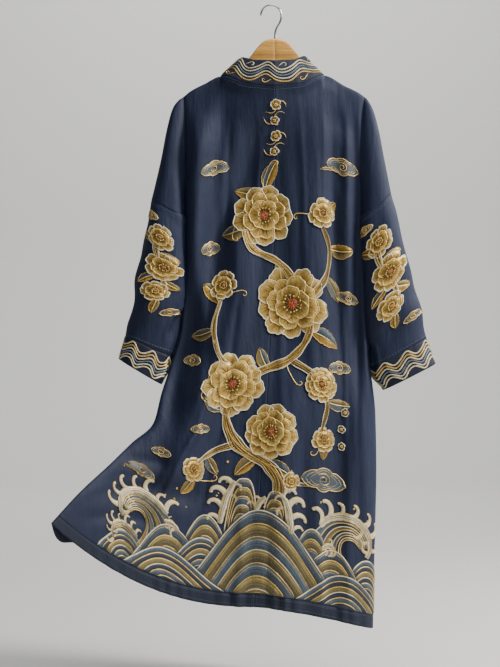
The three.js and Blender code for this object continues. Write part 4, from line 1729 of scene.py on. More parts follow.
@dataclass(frozen=True)
class Petal:
    """One petal of satin stitches with a lobed edge, a cord round it and fine cords down it."""

    length: float
    half: float
    lobes: int
    thread: Thread
    rim: Thread

    def sew(self, work: StitchWork, at: Array, angle: float, base: float) -> None:
        """Sews the petal.

        Args:
            work: Where to.
            at: Its foot.
            angle: Which way it points.
            base: Height of its edges.
        """
        count = max(11, int(self.half / 1.6))
        phi = np.linspace(-1, 1, count)
        lobe = np.abs(np.sin(phi * math.pi * self.lobes / 2 + math.pi / 2 * (self.lobes % 2)))
        notch = 0.09 * self.length * (1 - lobe)
        out = self.length * (0.42 + 0.58 * np.cos(phi * math.pi / 2) ** 0.65) - notch
        edge = turned(joined(out, self.half * np.sin(phi * math.pi / 2)), at, angle)
        foot = turned(joined(np.full(count, 0.1 * self.length), 0.2 * self.half * phi), at, angle)
        # Dark at its foot as painted shade under the petals laid over it, and light towards its edge as a
        # painted highlight.
        work.loft(self.thread, foot, edge, 1.5, base, (0.0, 0.9))
        work.cord(self.rim, edge, 1.1, base + 0.9, 0.95)
        for share in (-0.5, 0.0, 0.5):
            k = int((share + 1) / 2 * (count - 1))
            line = foot[k] + (edge[k] - foot[k]) * np.linspace(0.12, 0.78, 8)[:, None]
            work.cord(self.thread, line, 0.5, base + 1.45, 0.1)


@dataclass(frozen=True)
class Blossom:
    """A many-petalled blossom with a seeded heart."""

    radius: float
    rings: tuple[tuple[int, float, float, float], ...] = (
        (9, 0.36, 0.64, 0.3), (8, 0.2, 0.56, 0.26), (6, 0.04, 0.46, 0.24),
    )

    def sew(self, work: StitchWork, at: Place, seed: int, thread: Thread = Thread.GOLD) -> None:
        """Sews the blossom at a place.

        Args:
            work: Where to.
            at: Its centre.
            seed: What its small differences come from.
            thread: Filling of its petals.
        """
        rng = np.random.default_rng(seed)
        centre = np.array(at, float)
        lobes = 3 if self.radius > 45 else 2
        base = 0.3
        for ring, (count, foot, length, half) in enumerate(self.rings):
            turn = rng.uniform(0, 6)
            order = list(range(0, count, 2)) + list(range(1, count, 2))
            for i in order:
                angle = turn + (i + rng.uniform(-0.16, 0.16)) / count * 2 * math.pi
                size = self.radius * rng.uniform(0.9, 1.08)
                start = centre + self.radius * foot * toward(angle)
                rim = Thread.IVORY if ring == 0 else Thread.GOLD
                breadth = self.radius * half * rng.uniform(0.92, 1.1)
                petal = Petal(size * length, breadth, lobes, thread, rim)
                petal.sew(work, start, angle, base + 0.7 * (i % 2))
            base += 1.5
        self._heart(work, centre, base, rng)

    def _heart(self, work: StitchWork, centre: Array, base: float, rng: np.random.Generator) -> None:
        """A red heart with gold seeds and fine threads.

        Args:
            work: Where to.
            centre: Its centre.
            base: Height of its edges.
            rng: Where its small differences come from.
        """
        heart = self.radius * 0.15
        rim = circle(18) * heart
        work.loft(Thread.RED, centre + rim, centre + rim * 0.1, 1.0, base, (0.4, 0.8), True)
        for i in range(14):
            out = toward(i / 14 * 2 * math.pi + rng.uniform(-0.1, 0.1))
            reach = heart * rng.uniform(1.35, 1.75)
            thread = centre + out * np.linspace(heart * 0.5, reach, 6)[:, None]
            work.cord(Thread.GOLD, thread, 0.5, base + 0.9)
            work.dot(Thread.GOLD, centre + out * reach, max(1.2, heart * 0.17), base + 0.9, 0.9)
        for i in range(6):
            seed = centre + heart * 0.11 * i * toward(i * 2.4)
            work.dot(Thread.GOLD, seed, 1.3, base + 1.2)


@dataclass(frozen=True)
class Leaf:
    """A toothed leaf of two satin halves with a midrib."""

    length: float
    half: float
    bend: float
    base: float = 0.3

    def sew(self, work: StitchWork, at: Place, angle: float, threads: tuple[Thread, Thread]) -> None:
        """Sews the leaf from its stalk.

        Args:
            work: Where to.
            at: Where its stalk is.
            angle: Which way it points.
            threads: The fillings of its halves.
        """
        count = max(12, int(self.length / 2.6))
        share = np.linspace(0, 1, count)
        rib = joined(share * self.length, self.bend * self.length * share**2)
        width = self.half * np.sin(math.pi * share**0.8) ** 0.8 + 0.2
        teeth = 1 - 0.16 * np.mod(share * 7, 1.0)
        for thread, side in zip(threads, (-1, 1)):
            edge = rib + joined(width * 0.35, side * width * teeth)
            edge[-1] = rib[-1]
            edge = turned(edge, at, angle)
            work.loft(thread, turned(rib, at, angle), edge, 0.8, self.base, (0.15, 0.7))
            work.cord(Thread.GOLD, edge, 0.75, self.base + 0.5, 0.7)
        work.cord(Thread.GOLD, turned(rib, at, angle), 1.0, self.base + 0.8, 0.95)


@dataclass(frozen=True)
class Branch:
    """A gnarled branch of couched gold cords over a padded core."""

    line: tuple[Place, ...]
    half: float
    strands: int
    base: float = 0.3

    def sew(self, work: StitchWork) -> None:
        """Sews the branch.

        Args:
            work: Where to.
        """
        spine = smooth(self.line)
        share = np.linspace(0, 1, len(spine))
        along = np.linspace(0, len(spine) * 3.0, len(spine))
        gnarls = 1 + 0.16 * np.sin(along / 19) + 0.09 * np.sin(along / 7.3)
        width = self.half * (1 - 0.55 * share) * gnarls
        work.ribbon(Thread.TAN, spine, width, 1.4, self.base, 0.35)
        side = sideways(spine)
        for k in range(self.strands):
            place = (k / (self.strands - 1) * 2 - 1) * 0.93
            sway = place + 0.1 * np.sin(along / 15 + k * 1.7)
            line = spine + side * (width * np.clip(sway, -1, 1))[:, None]
            height = self.base + 0.3 + 1.3 * math.sqrt(max(0.05, 1 - place**2))
            if abs(place) > 0.9:
                work.cord(Thread.IVORY, line, 1.1, height, 0.9)
            else:
                work.cord(Thread.GOLD, line, 1.1, height, 0.45 + 0.2 * (k % 2))


@dataclass(frozen=True)
class Cloud:
    """A scalloped cloud with rings and a scroll in it, and a trailing wisp."""

    length: float
    height: float
    tail: float = 1.0
    base: float = 0.25

    PUFFS = (
        (-0.24, -0.1, 0.17), (0.0, -0.17, 0.21), (0.24, -0.1, 0.17), (-0.4, 0.02, 0.12),
        (0.4, 0.02, 0.12), (-0.51, 0.05, 0.04), (0.51, 0.05, 0.04), (-0.22, 0.12, 0.16),
        (0.0, 0.2, 0.17), (0.22, 0.12, 0.16),
    )

    def _edge(self, grow: float) -> Array:
        """Its outline, where rays from its middle leave its round puffs, grown or shrunk.

        Args:
            grow: Its size, where 1 is the whole cloud.

        Returns:
            Flat places round it.
        """
        out = circle(90)
        reach = np.zeros(len(out))
        for x, y, radius in self.PUFFS:
            along = out @ np.array([x, y])
            inside = radius**2 - (x * x + y * y - along**2)
            reach = np.maximum(reach, along + np.sqrt(np.maximum(inside, 0)) * (inside > 0))
        return out * reach[:, None] * np.array([self.length, self.height * 1.4]) * grow

    def sew(self, work: StitchWork, at: Place, angle: float, flip: int) -> None:
        """Sews the cloud, turned by an angle and flipped if flip is -1.

        Args:
            work: Where to.
            at: Its middle.
            angle: How far it is turned.
            flip: 1, or -1 for its mirror image.
        """
        base = self.base

        def put(points: Array) -> Array:
            """Flat places of the cloud, put where it belongs."""
            return turned(points * np.array([flip, 1]), at, angle)

        if self.tail > 0:
            wisp = smooth([(0.0, 0.0), (0.24, 0.2), (0.5, 0.16), (0.78, 0.36), (1.0, 0.34)], 2.6)
            wisp = wisp * np.array([self.length * 0.62 * self.tail, self.height * 0.62])
            wisp = wisp + (self.length * 0.26, self.height * 0.24)
            share = np.linspace(0, 1, len(wisp))
            swell = self.height * 0.13 * (1 - share) ** 0.6 * (0.75 + 0.25 * np.cos(share * 9)) + 0.3
            side = sideways(wisp) * swell[:, None]
            near, far = put(wisp - side), put(wisp + side)
            work.loft(Thread.BLUE, near, far, 0.5, base, (0.4, 0.3))
            work.cord(Thread.GOLD, near, 0.85, base + 0.25, 0.7)
            work.cord(Thread.GOLD, far, 0.85, base + 0.25, 0.7)
        edge, core = self._edge(1.0), self._edge(0.08)
        work.loft(Thread.BLUE, put(edge), put(core), 0.7, base, (0.6, 0.25), True)
        work.cord(Thread.GOLD, put(np.vstack([edge, edge[:2]])), 1.1, base + 0.4, 0.8)
        for grow, thread in ((0.8, Thread.IVORY), (0.62, Thread.GOLD)):
            if self.height * (1 - grow) > 3.2:
                ring = self._edge(grow)
                work.cord(thread, put(np.vstack([ring, ring[:2]])), 0.6, base + 0.75, 0.6)
        scroll = spiral(1.9, 1.2, self.height * 0.3, 44) * np.array([1.25, 1.0])
        work.cord(Thread.GOLD, put(scroll), 0.8, base + 0.8, 0.85)


@dataclass(frozen=True)
class Curl:
    """A curled finger of foam: a tapered hook with a pale edge."""

    size: float
    turns: float

    def sew(self, work: StitchWork, at: Array, angle: float, flip: int, base: float) -> None:
        """Sews the curl from its root.

        Args:
            work: Where to.
            at: Its root.
            angle: Which way it sets out.
            flip: Which way it curls, 1 or -1.
            base: Height of its edges.
        """
        share = np.linspace(0, 1, 22)
        bend = (share**1.3) * self.turns * 2 * math.pi
        step = joined(np.cos(bend), np.sin(bend) * flip) * (1.25 - 0.7 * share)[:, None]
        line = np.cumsum(step, axis=0)
        line = (line - line[0]) / len(line) * self.size * 1.9
        knob = 0.05 * np.exp(-(((share - 0.93) / 0.06) ** 2))
        half = self.size * (0.15 * (1 - share) ** 0.7 + 0.07 + knob)
        half[-1] *= 0.3
        line = turned(line, at, angle)
        work.ribbon(Thread.IVORY, line, half, 1.1, base, 0.75)
        side = sideways(line) * half[:, None]
        work.cord(Thread.GOLD, line - side * flip, 0.75, base + 0.3, 0.8)
        work.cord(Thread.TAN, line + side * flip, 0.6, base + 0.3, 0.5)


def runs(mask: Array, least: int = 4) -> Iterable[slice]:
    """The stretches of a mask that are true and long enough.

    Args:
        mask: The mask.
        least: The shortest stretch that counts.

    Returns:
        A slice for each.
    """
    edges = np.flatnonzero(np.diff(np.concatenate([[0], mask.astype(int), [0]])))
    for start, stop in zip(edges[::2], edges[1::2]):
        if stop - start >= least:
            yield slice(int(start), int(stop))


def above_hem(points: Sequence[Place]) -> list[Place]:
    """Places given as across and height above the hem band, as across and down."""
    return [(a, SEA_LINE - h) for a, h in points]


@dataclass(frozen=True)
class Mound:
    """A hill of water or a rock in nested bands, standing on the hem band.

    across is its middle, height its top, width its spread, step how far apart its bands are, skew how much
    broader its right flank is than its left, and power how square its shoulders are. A fine one has slim
    bands and no cords inside them.
    """

    across: float
    height: float
    width: float
    step: float
    fine: bool = False
    skew: float = 0.0
    power: float = 2.1

    BROAD = (Thread.BLUE, Thread.TAN, Thread.BLUE, Thread.TAN, Thread.BLUE, Thread.TAN, Thread.TAN)
    SLIM = (Thread.BLUE, Thread.NAVY, Thread.TAN, Thread.NAVY)
    RIMS = (Thread.IVORY, Thread.GOLD, Thread.GOLD)
    MOST_BANDS = 14

    def curve(self, level: float, a: Array) -> Array:
        """Height above the hem band of a nested line.

        Args:
            level: Which line, 0 for the top.
            a: Places across.

        Returns:
            A height for each place.
        """
        x = a - self.across
        reach = self.width * (1 + self.skew * np.sign(x)) * (1 - 0.03 * level)
        rise = 1.3 * np.exp(-0.9 * np.abs(x / reach) ** self.power) - 0.3
        return self.height * rise - level * self.step

    def sew(self, work: StitchWork, hiding: Sequence[Mound]) -> None:
        """Sews what shows of the hill.

        Args:
            work: Where to.
            hiding: The hills in front of it.
        """
        reach = self.width * (1.3 + abs(self.skew))
        a = np.linspace(self.across - reach, self.across + reach, int(reach * 2 / 2.6))
        sky = np.max([m.curve(0, a) for m in hiding] + [np.zeros(len(a))], axis=0)
        threads = self.SLIM if self.fine else self.BROAD
        for level in range(self.MOST_BANDS):
            top, low = self.curve(level, a), np.maximum(self.curve(level + 1, a), sky + 1.0)
            if top.max() < 1:
                break
            for part in runs(top > low + 0.6):
                upper = joined(a[part], SEA_LINE - top[part])
                lower = joined(a[part], SEA_LINE - low[part])
                tone = (0.12 + 0.12 * (level % 3), 0.7)
                work.loft(threads[level % len(threads)], lower, upper, 1.1, 0.25, tone)
            for part in runs(top > sky + 1.2):
                line = joined(a[part], SEA_LINE - top[part])
                work.cord(self.RIMS[level % 3], line, 1.45 if level == 0 else 1.15, 0.75, 0.8)
            if not self.fine:
                self._inner(work, a, level, sky)

    def _inner(self, work: StitchWork, a: Array, level: int, sky: Array) -> None:
        """Fine cords inside a broad band.

        Args:
            work: Where to.
            a: Places across.
            level: Which band.
            sky: Height of what stands in front.
        """
        for share, tone in ((0.24, 0.75), (0.5, 0.2), (0.74, 0.15)):
            line = self.curve(level + share, a)
            for part in runs(line > sky + 1.6, 6):
                places = joined(a[part], SEA_LINE - line[part])
                work.cord(Thread.GOLD if share < 0.3 else Thread.NAVY, places, 0.5, 1.25, tone)


@dataclass(frozen=True)
class Breaker:
    """A curling wave: bands of water that rise from the swell and hook over, with foam along the hook.

    across and foot are where the middle of its foot is, flip is 1 where it hooks to the left.
    """

    across: float
    foot: float
    size: float
    flip: int
    bands: int = 7
    base: float = 0.35

    OUTER = (
        (0.98, -0.3), (0.93, 0.22), (0.74, 0.66), (0.36, 0.96), (-0.1, 1.0), (-0.42, 0.78), (-0.5, 0.5),
    )
    INNER = (
        (-0.2, -0.3), (0.04, 0.06), (0.14, 0.32), (0.1, 0.52), (-0.04, 0.6), (-0.2, 0.56), (-0.32, 0.44),
    )
    FOAM = ((0.66, 0.78), (0.34, 1.0), (-0.1, 1.05), (-0.45, 0.82), (-0.56, 0.5), (-0.48, 0.3))
    THREADS = (Thread.BLUE, Thread.NAVY, Thread.TAN, Thread.NAVY)

    def _places(self, rows: Sequence[Place]) -> list[Place]:
        """A line's places as across and height above the hem band, from its rows for a wave of size 1."""
        return [(self.across + self.flip * self.size * x, self.foot + self.size * y) for x, y in rows]

    def _guide(self, rows: Sequence[Place], count: int) -> Array:
        """One of its guide lines, as flat places.

        Args:
            rows: Its places for a wave of size 1.
            count: How many places to give.

        Returns:
            Flat places along it.
        """
        line = smooth(above_hem(self._places(rows)))
        share, at = np.linspace(0, 1, count), np.linspace(0, 1, len(line))
        return joined(*(np.interp(share, at, line[:, i]) for i in range(2)))

    def sew(self, work: StitchWork) -> None:
        """Sews the bands and the cords between them.

        Args:
            work: Where to.
        """
        count = int(self.size * 0.75)
        outer, inner = self._guide(self.OUTER, count), self._guide(self.INNER, count)
        lines = [outer + (inner - outer) * (k / self.bands) ** 0.85 for k in range(self.bands + 1)]
        for k, (near, far) in enumerate(zip(lines, lines[1:])):
            work.loft(self.THREADS[k % len(self.THREADS)], near, far, 0.7, self.base, (0.2, 0.7))
        for k, line in enumerate(lines):
            work.cord(Thread.IVORY if k % 2 == 0 else Thread.GOLD, line, 1.1, self.base + 0.5, 0.8)

    def crest(self) -> Crest:
        """The foam along the hook."""
        return Crest(tuple(self._places(self.FOAM)), self.size * 0.07, self.size * 0.26, self.flip)


@dataclass(frozen=True)
class Crest:
    """A breaking crest: a lobed band of foam along a line, with curled fingers off it."""

    line: tuple[Place, ...]
    half: float
    finger: float
    flip: int
    base: float = 0.9

    STEP = 2.2

    def sew(self, work: StitchWork, seed: int) -> None:
        """Sews the crest.

        Args:
            work: Where to.
            seed: What its small differences come from.
        """
        rng = np.random.default_rng(seed)
        base = self.base
        spine = smooth(above_hem(self.line), self.STEP)
        share = np.linspace(0, 1, len(spine))
        along = share * len(spine) * self.STEP
        step = unit(np.gradient(spine, axis=0))
        side = joined(-step[:, 1], step[:, 0])
        half = self.half * (0.45 + 0.55 * np.sin(math.pi * (0.15 + 0.8 * share)))
        for way, pace, first in ((-self.flip, 1.1, 0.62), (self.flip, 0.98, 0.0)):
            start = max(first * along[-1], self.finger * 0.25)
            for reach in np.arange(start, along[-1], self.finger * pace):
                i = min(int(np.searchsorted(along, reach)), len(spine) - 1)
                aim = math.atan2(step[i, 1], step[i, 0]) + way * rng.uniform(0.6, 1.0)
                root = spine[i] + side[i] * way * half[i] * 0.4
                size = self.finger * rng.uniform(0.75, 1.25) * (0.7 if way != self.flip else 1.0)
                Curl(size, rng.uniform(0.38, 0.5)).sew(work, root, aim, way, base - 0.3)
        lobes = np.abs(np.sin(along / 15 * math.pi))
        near, far = (spine + side * (way * (half + lobes * 1.2))[:, None] for way in (-1, 1))
        work.loft(Thread.IVORY, near, far, 1.5, base, (0.55, 0.95))
        work.cord(Thread.GOLD, near, 0.8, base + 0.4, 0.8)
        work.cord(Thread.GOLD, far, 0.8, base + 0.4, 0.8)
        for lane in (-0.34, 0.3):
            sway = half * lane + 0.5 * np.sin(along / 5 + lane)
            work.cord(Thread.TAN, spine + side * sway[:, None], 0.5, base + 1.5, 0.4)


@dataclass
class Embroidery:
    """All the robe's needlework: a flowering branch, clouds, a sea border, and corded bands.

    A row of BRANCHES is (places, half width, strands), of BLOSSOMS (across, down, radius), of LEAVES (across,
    down, angle, length, half width, bend), of TENDRILS (across, down, angle, length, flip) and of CLOUDS
    (across, down, length, height, angle, flip, tail).
    """

    cloth: RobeCloth
    finishes: dict[Thread, Material]
    collar_pitch: float = 74.0
    collar_swell: float = 8.0
    cuff_waves: int = 7
    cuff_swell: float = 6.6
    wave_half: float = 1.45
    wave_puff: float = 1.3

    TRUNK = (
        (42, 842), (36, 812), (10, 784), (-58, 742), (-84, 668), (-40, 606), (40, 566), (84, 500), (66, 428),
    )
    BRANCHES = (
        (TRUNK, 13, 7),
        (((66, 430), (20, 372), (-50, 330), (-62, 262), (-20, 214)), 9, 6),
        (((-60, 745), (-100, 762), (-134, 790), (-142, 822)), 7, 4),
        (((46, 565), (96, 590), (128, 640), (122, 700)), 7, 4),
        (((72, 440), (112, 390), (120, 330), (96, 276)), 7, 4),
        (((-45, 607), (-98, 566), (-120, 500), (-108, 440)), 7, 4),
    )
    BLOSSOMS = (
        (-22, 268, 64), (44, 448, 76), (-74, 618, 66), (14, 716, 58), (112, 606, 36),
    )
    SMALL_BLOSSOMS = (
        (-104, 410, 30), (102, 262, 30), (128, 718, 27), (-146, 806, 28), (64, 812, 19),
    )
    SMALL_RINGS = ((7, 0.3, 0.7, 0.36), (6, 0.05, 0.6, 0.32))
    SPRIG_RING = ((5, 0.12, 0.86, 0.44),)
    LEAVES = (
        (-20, 214, -1.4, 62, 15, 0.2), (-30, 232, -2.7, 56, 14, -0.2), (-58, 290, 2.6, 60, 16, 0.25),
        (100, 286, -1.2, 60, 15, 0.2), (118, 330, 0.1, 58, 15, -0.25), (112, 388, 0.7, 54, 14, 0.25),
        (84, 500, 0.2, 66, 17, 0.2), (-110, 446, -2.1, 60, 15, -0.2), (-120, 500, 2.8, 54, 14, 0.25),
        (-96, 566, 2.3, 52, 14, -0.2), (122, 696, 1.2, 62, 15, 0.25), (128, 640, 0.2, 50, 13, -0.2),
        (-84, 668, -2.9, 58, 15, 0.2), (-142, 822, 1.9, 50, 13, 0.2), (-116, 772, 1.2, 46, 12, -0.2),
        (6, 782, 0.1, 62, 15, 0.25), (-10, 772, 2.7, 56, 15, -0.25), (0, 590, -2.2, 50, 13, 0.2),
        (10, 360, 1.2, 56, 15, 0.25),
    )
    TENDRILS = (
        (-20, 214, -2.2, 70, 1), (96, 276, -2.0, 60, -1), (66, 428, 0.2, 70, 1),
        (-62, 262, 2.9, 66, -1), (122, 700, 0.9, 60, 1), (-120, 780, 3.0, 60, -1),
        (-84, 668, 2.7, 72, 1), (-142, 822, 0.9, 56, -1), (-108, 440, -1.2, 60, 1),
        (40, 566, 2.0, 60, -1),
    )
    CLOUDS = (
        (-134, 172, 62, 27, 0.0, 1, 0.0), (150, 160, 72, 31, -0.05, -1, 0.8),
        (-146, 330, 46, 27, 0.1, 1, 0.0), (166, 420, 50, 24, 0.05, -1, 0.0),
        (-168, 560, 42, 24, 0.2, 1, 0.0), (152, 566, 48, 25, -0.1, -1, 0.7),
        (-138, 712, 42, 22, 0.0, 1, 0.0), (136, 800, 92, 46, 0.04, -1, 0.8),
        (-262, 842, 58, 27, 0.25, -1, 0.7), (-222, 782, 40, 23, 0.1, 1, 0.0),
    )

    def build(self) -> dict[str, list[Object]]:
        """Sews everything.

        Returns:
            The pieces, by the cloth piece that they are sewn to.
        """
        made: dict[str, list[Object]] = {}
        back = StitchWork("branch", BackSkin(self.cloth.fields))
        self._branch(back)
        made["back_right"] = back.finish(self.finishes)
        sea = StitchWork("sea", BackSkin(self.cloth.fields))
        self._sea(sea)
        self._seams(sea)
        made["back_left"] = sea.finish(self.finishes)
        collar = StitchWork("collar_cords", CollarSkin(self.cloth.fields["collar"]))
        self._collar(collar)
        made["collar_left"] = collar.finish(self.finishes)
        for name, sign in (("left", -1), ("right", 1)):
            skin = TubeSkin(self.cloth.fields[f"cuff_{name}"], sign)
            cuff = StitchWork(f"cuff_{name}_cords", skin)
            self._cuff(cuff)
            made[f"cuff_{name}"] = cuff.finish(self.finishes)
            skin = TubeSkin(self.cloth.fields[f"sleeve_{name}"], sign, 8.0 if sign < 0 else 1.0)
            spray = StitchWork(f"sleeve_{name}_spray", skin)
            self._spray(spray)
            made[f"sleeve_{name}"] = spray.finish(self.finishes)
        return made

    def _branch(self, work: StitchWork) -> None:
        """The flowering branch down the back, with ornaments above it and clouds round it.

        Args:
            work: Where to.
        """
        for line, half, strands in self.BRANCHES:
            Branch(line, half, strands).sew(work)
        pairs = ((Thread.BLUE, Thread.GOLD), (Thread.GOLD, Thread.TAN), (Thread.TAN, Thread.BLUE))
        for i, (a, d, angle, length, half, bend) in enumerate(self.LEAVES):
            Leaf(length, half, bend).sew(work, (a, d), angle, pairs[i % 3])
        for seed, (a, d, radius) in enumerate(self.BLOSSOMS, 11):
            Blossom(radius).sew(work, (a, d), seed)
        for seed, (a, d, radius) in enumerate(self.SMALL_BLOSSOMS, 31):
            Blossom(radius, self.SMALL_RINGS).sew(work, (a, d), seed)
        self._tendrils(work)
        self._ornaments(work)
        for a, d, length, height, angle, flip, tail in self.CLOUDS:
            Cloud(length, height, tail).sew(work, (a, d), angle, flip)

    def _tendrils(self, work: StitchWork) -> None:
        """Thin curling stems off the branch.

        Args:
            work: Where to.
        """
        count = 50
        share = np.linspace(0, 1, count)
        for a, d, angle, length, flip in self.TENDRILS:
            bend = flip * (0.9 * np.sin(share * 5) + 7.5 * share**4)
            line = np.cumsum(joined(np.cos(bend), np.sin(bend)), axis=0) / count * length * 1.3
            work.cord(Thread.GOLD, turned(line, (a, d), angle), 1.0, 0.25, 0.85)

    def _ornaments(self, work: StitchWork) -> None:
        """Small sprigs in a column under the collar, and three more low on the right.

        Args:
            work: Where to.
        """
        hook = spiral(0.45, 10, 14, 12) - (10, 0)
        for i, d in enumerate((38, 70, 102, 134)):
            Blossom(11.5 - (i % 2) * 2, self.SPRIG_RING).sew(work, (1.5 * (-1) ** i, d), 51 + i)
            for angle in (0.4, 2.7) if i % 2 else (-0.5, 3.6):
                work.cord(Thread.GOLD, turned(hook, (0, d), angle), 0.9, 0.25, 0.8)
        for i, d in enumerate((655, 690, 725)):
            Blossom(9, self.SPRIG_RING).sew(work, (168 + 2 * (-1) ** i, d), 61 + i, Thread.TAN)

    def _sea(self, work: StitchWork) -> None:
        """The sea border above the hem, from its rocks forward to its nearest swells.

        Args:
            work: Where to.
        """
        hills = [
            Mound(-34, 236, 44, 18, power=3.4),
            Mound(34, 214, 38, 17, power=3.4),
            Mound(-108, 152, 72, 21),
            Mound(118, 148, 66, 20),
            Mound(-296, 60, 62, 10, True),
            Mound(246, 106, 74, 11, True),
            Mound(-190, 112, 92, 22, skew=0.1),
            Mound(168, 112, 84, 20, skew=-0.1),
            Mound(-112, 104, 84, 11, True),
            Mound(2, 172, 142, 27, skew=0.12),
            Mound(-196, 62, 96, 11, True, 0.1),
            Mound(196, 66, 88, 11, True),
        ]
        for i, hill in enumerate(hills):
            hill.sew(work, hills[i + 1 :])

        def behind(places: Array) -> Array:
            """Which flat places lie behind a hill."""
            sky = np.max([h.curve(0, places[:, 0]) for h in hills], axis=0)
            return SEA_LINE - places[:, 1] < sky + 0.8

        breakers = (Breaker(-256, 62, 92, 1), Breaker(196, 84, 96, -1), Breaker(-300, 20, 52, 1, 5))
        work.screen = behind
        for breaker in breakers:
            breaker.sew(work)
        work.screen = None
        crests = [
            *(breaker.crest() for breaker in breakers),
            Crest(((-80, 140), (-74, 172), (-67, 200), (-52, 230)), 6.0, 27, -1),
            Crest(((-6, 172), (3, 190), (14, 200)), 5.0, 16, -1),
            Crest(((72, 132), (67, 162), (60, 188), (48, 208)), 6.0, 25, 1),
            Crest(((-168, 106), (-184, 118), (-202, 118)), 4.5, 14, -1),
            Crest(((140, 112), (156, 120), (170, 116)), 4.5, 14, 1),
        ]
        for seed, crest in enumerate(crests):
            crest.sew(work, seed)
        rng = np.random.default_rng(5)
        for _ in range(34):
            a = rng.uniform(-310, 240)
            over = 130 + 110 * math.exp(-(((a + 5) / 90) ** 2)) + rng.uniform(20, 76)
            work.dot(Thread.GOLD, np.array([a, SEA_LINE - over]), rng.uniform(1.6, 2.9), 0.2, 0.8)

    def _seams(self, work: StitchWork) -> None:
        """Rows of stitches under the collar, beside the centre seam and along the hem band.

        Args:
            work: Where to.
        """
        rows = ((-112, 110, 60, 7.0), (-385, 238, 160, SEA_LINE + 6.5), (-385, 238, 160, BACK_LENGTH - 6))
        for start, end, count, down in rows:
            work.dashes(joined(np.linspace(start, end, count), np.full(count, down)))
        work.dashes(np.array([(4.5, 12.0), (4.5, 160.0)]))

    def _waves(
        self, work: StitchWork, run: Place, pitch: float, swell: float, rows: Sequence[tuple[float, Thread]]
    ) -> None:
        """Parallel waving cords.

        Args:
            work: Where to.
            run: Where they begin and how far they run.
            pitch: Length of a wave.
            swell: Its height from the middle.
            rows: Down place and thread of each.
        """
        start, length = run
        s = np.linspace(start, start + length, int(length / 2.6))
        for down, thread in rows:
            swing = swell * np.sin(s / pitch * 2 * math.pi)
            swing = swing + 0.14 * swell * np.sin(s / pitch * 4 * math.pi + down * 0.05)
            work.ribbon(thread, joined(s, down + swing), self.wave_half, self.wave_puff, 0.15, 0.7)

    def _collar(self, work: StitchWork) -> None:
        """Waving cords round the whole collar band.

        Args:
            work: Where to.
        """
        threads = (Thread.IVORY, Thread.IVORY, Thread.BLUE, Thread.IVORY, Thread.GOLD)
        rows = [(13.4 + 6.7 * i, thread) for i, thread in enumerate(threads)]
        self._waves(work, (-1280, 2560), self.collar_pitch, self.collar_swell, rows)
        places = ((-12, 4.5), (-6, 0.5), (0, -3.2), (5.5, -2), (6.8, 2.2), (3.4, 4.2), (1.4, 1.6))
        curl = smooth(places, 1.2)
        for k in range(-17, 17):
            for share, down, flip, thread in ((0.25, 9.0, 1, Thread.IVORY), (0.75, 45.0, -1, Thread.GOLD)):
                scroll = curl * flip + ((k + share) * self.collar_pitch, down)
                work.cord(thread, scroll, 0.9, 0.2, 0.8)

    def _cuff(self, work: StitchWork) -> None:
        """Waving cords round a cuff.

        Args:
            work: Where to.
        """
        top = CUFF_FROM * SLEEVE_LENGTH
        threads = (Thread.IVORY, Thread.GOLD, Thread.IVORY, Thread.BLUE, Thread.IVORY, Thread.IVORY)
        rows = [(top + 10.0 + 6.5 * i, thread) for i, thread in enumerate(threads)]
        self._waves(work, (0, SLEEVE_AROUND), SLEEVE_AROUND / self.cuff_waves, self.cuff_swell, rows)

    def _spray(self, work: StitchWork) -> None:
        """A small flowering spray and clouds on a sleeve.

        Args:
            work: Where to.
        """
        Branch(((-6, 40), (10, 80), (2, 124), (-14, 168), (-6, 206)), 6, 4).sew(work)
        for seed, (a, d, radius) in enumerate(((4, 66, 26), (-8, 128, 33), (-2, 188, 24)), 71):
            Blossom(radius, self.SMALL_RINGS).sew(work, (a, d), seed)
        rows = (
            (10, 84, -0.6, 36, 9), (0, 96, 2.7, 34, 9), (-12, 160, 2.4, 34, 9), (0, 150, 0.5, 36, 9),
            (-6, 206, 1.2, 34, 8),
        )
        for i, (a, d, angle, length, half) in enumerate(rows):
            pair = (Thread.BLUE, Thread.GOLD) if i % 2 else (Thread.GOLD, Thread.TAN)
            Leaf(length, half, 0.2).sew(work, (a, d), angle, pair)
        for down in (5.0, 8.5, CUFF_FROM * SLEEVE_LENGTH - 5):
            work.dashes(np.array([(-60.0, down), (60.0, down)]))
        Cloud(34, 17).sew(work, (30, 30), 0.1, 1)
        Cloud(32, 16).sew(work, (-30, 236), 0.2, -1)


# ---- Hanger ----


def choose_all() -> None:
    """Selects everything in edit mode."""
    bpy.ops.mesh.select_all(action="SELECT")


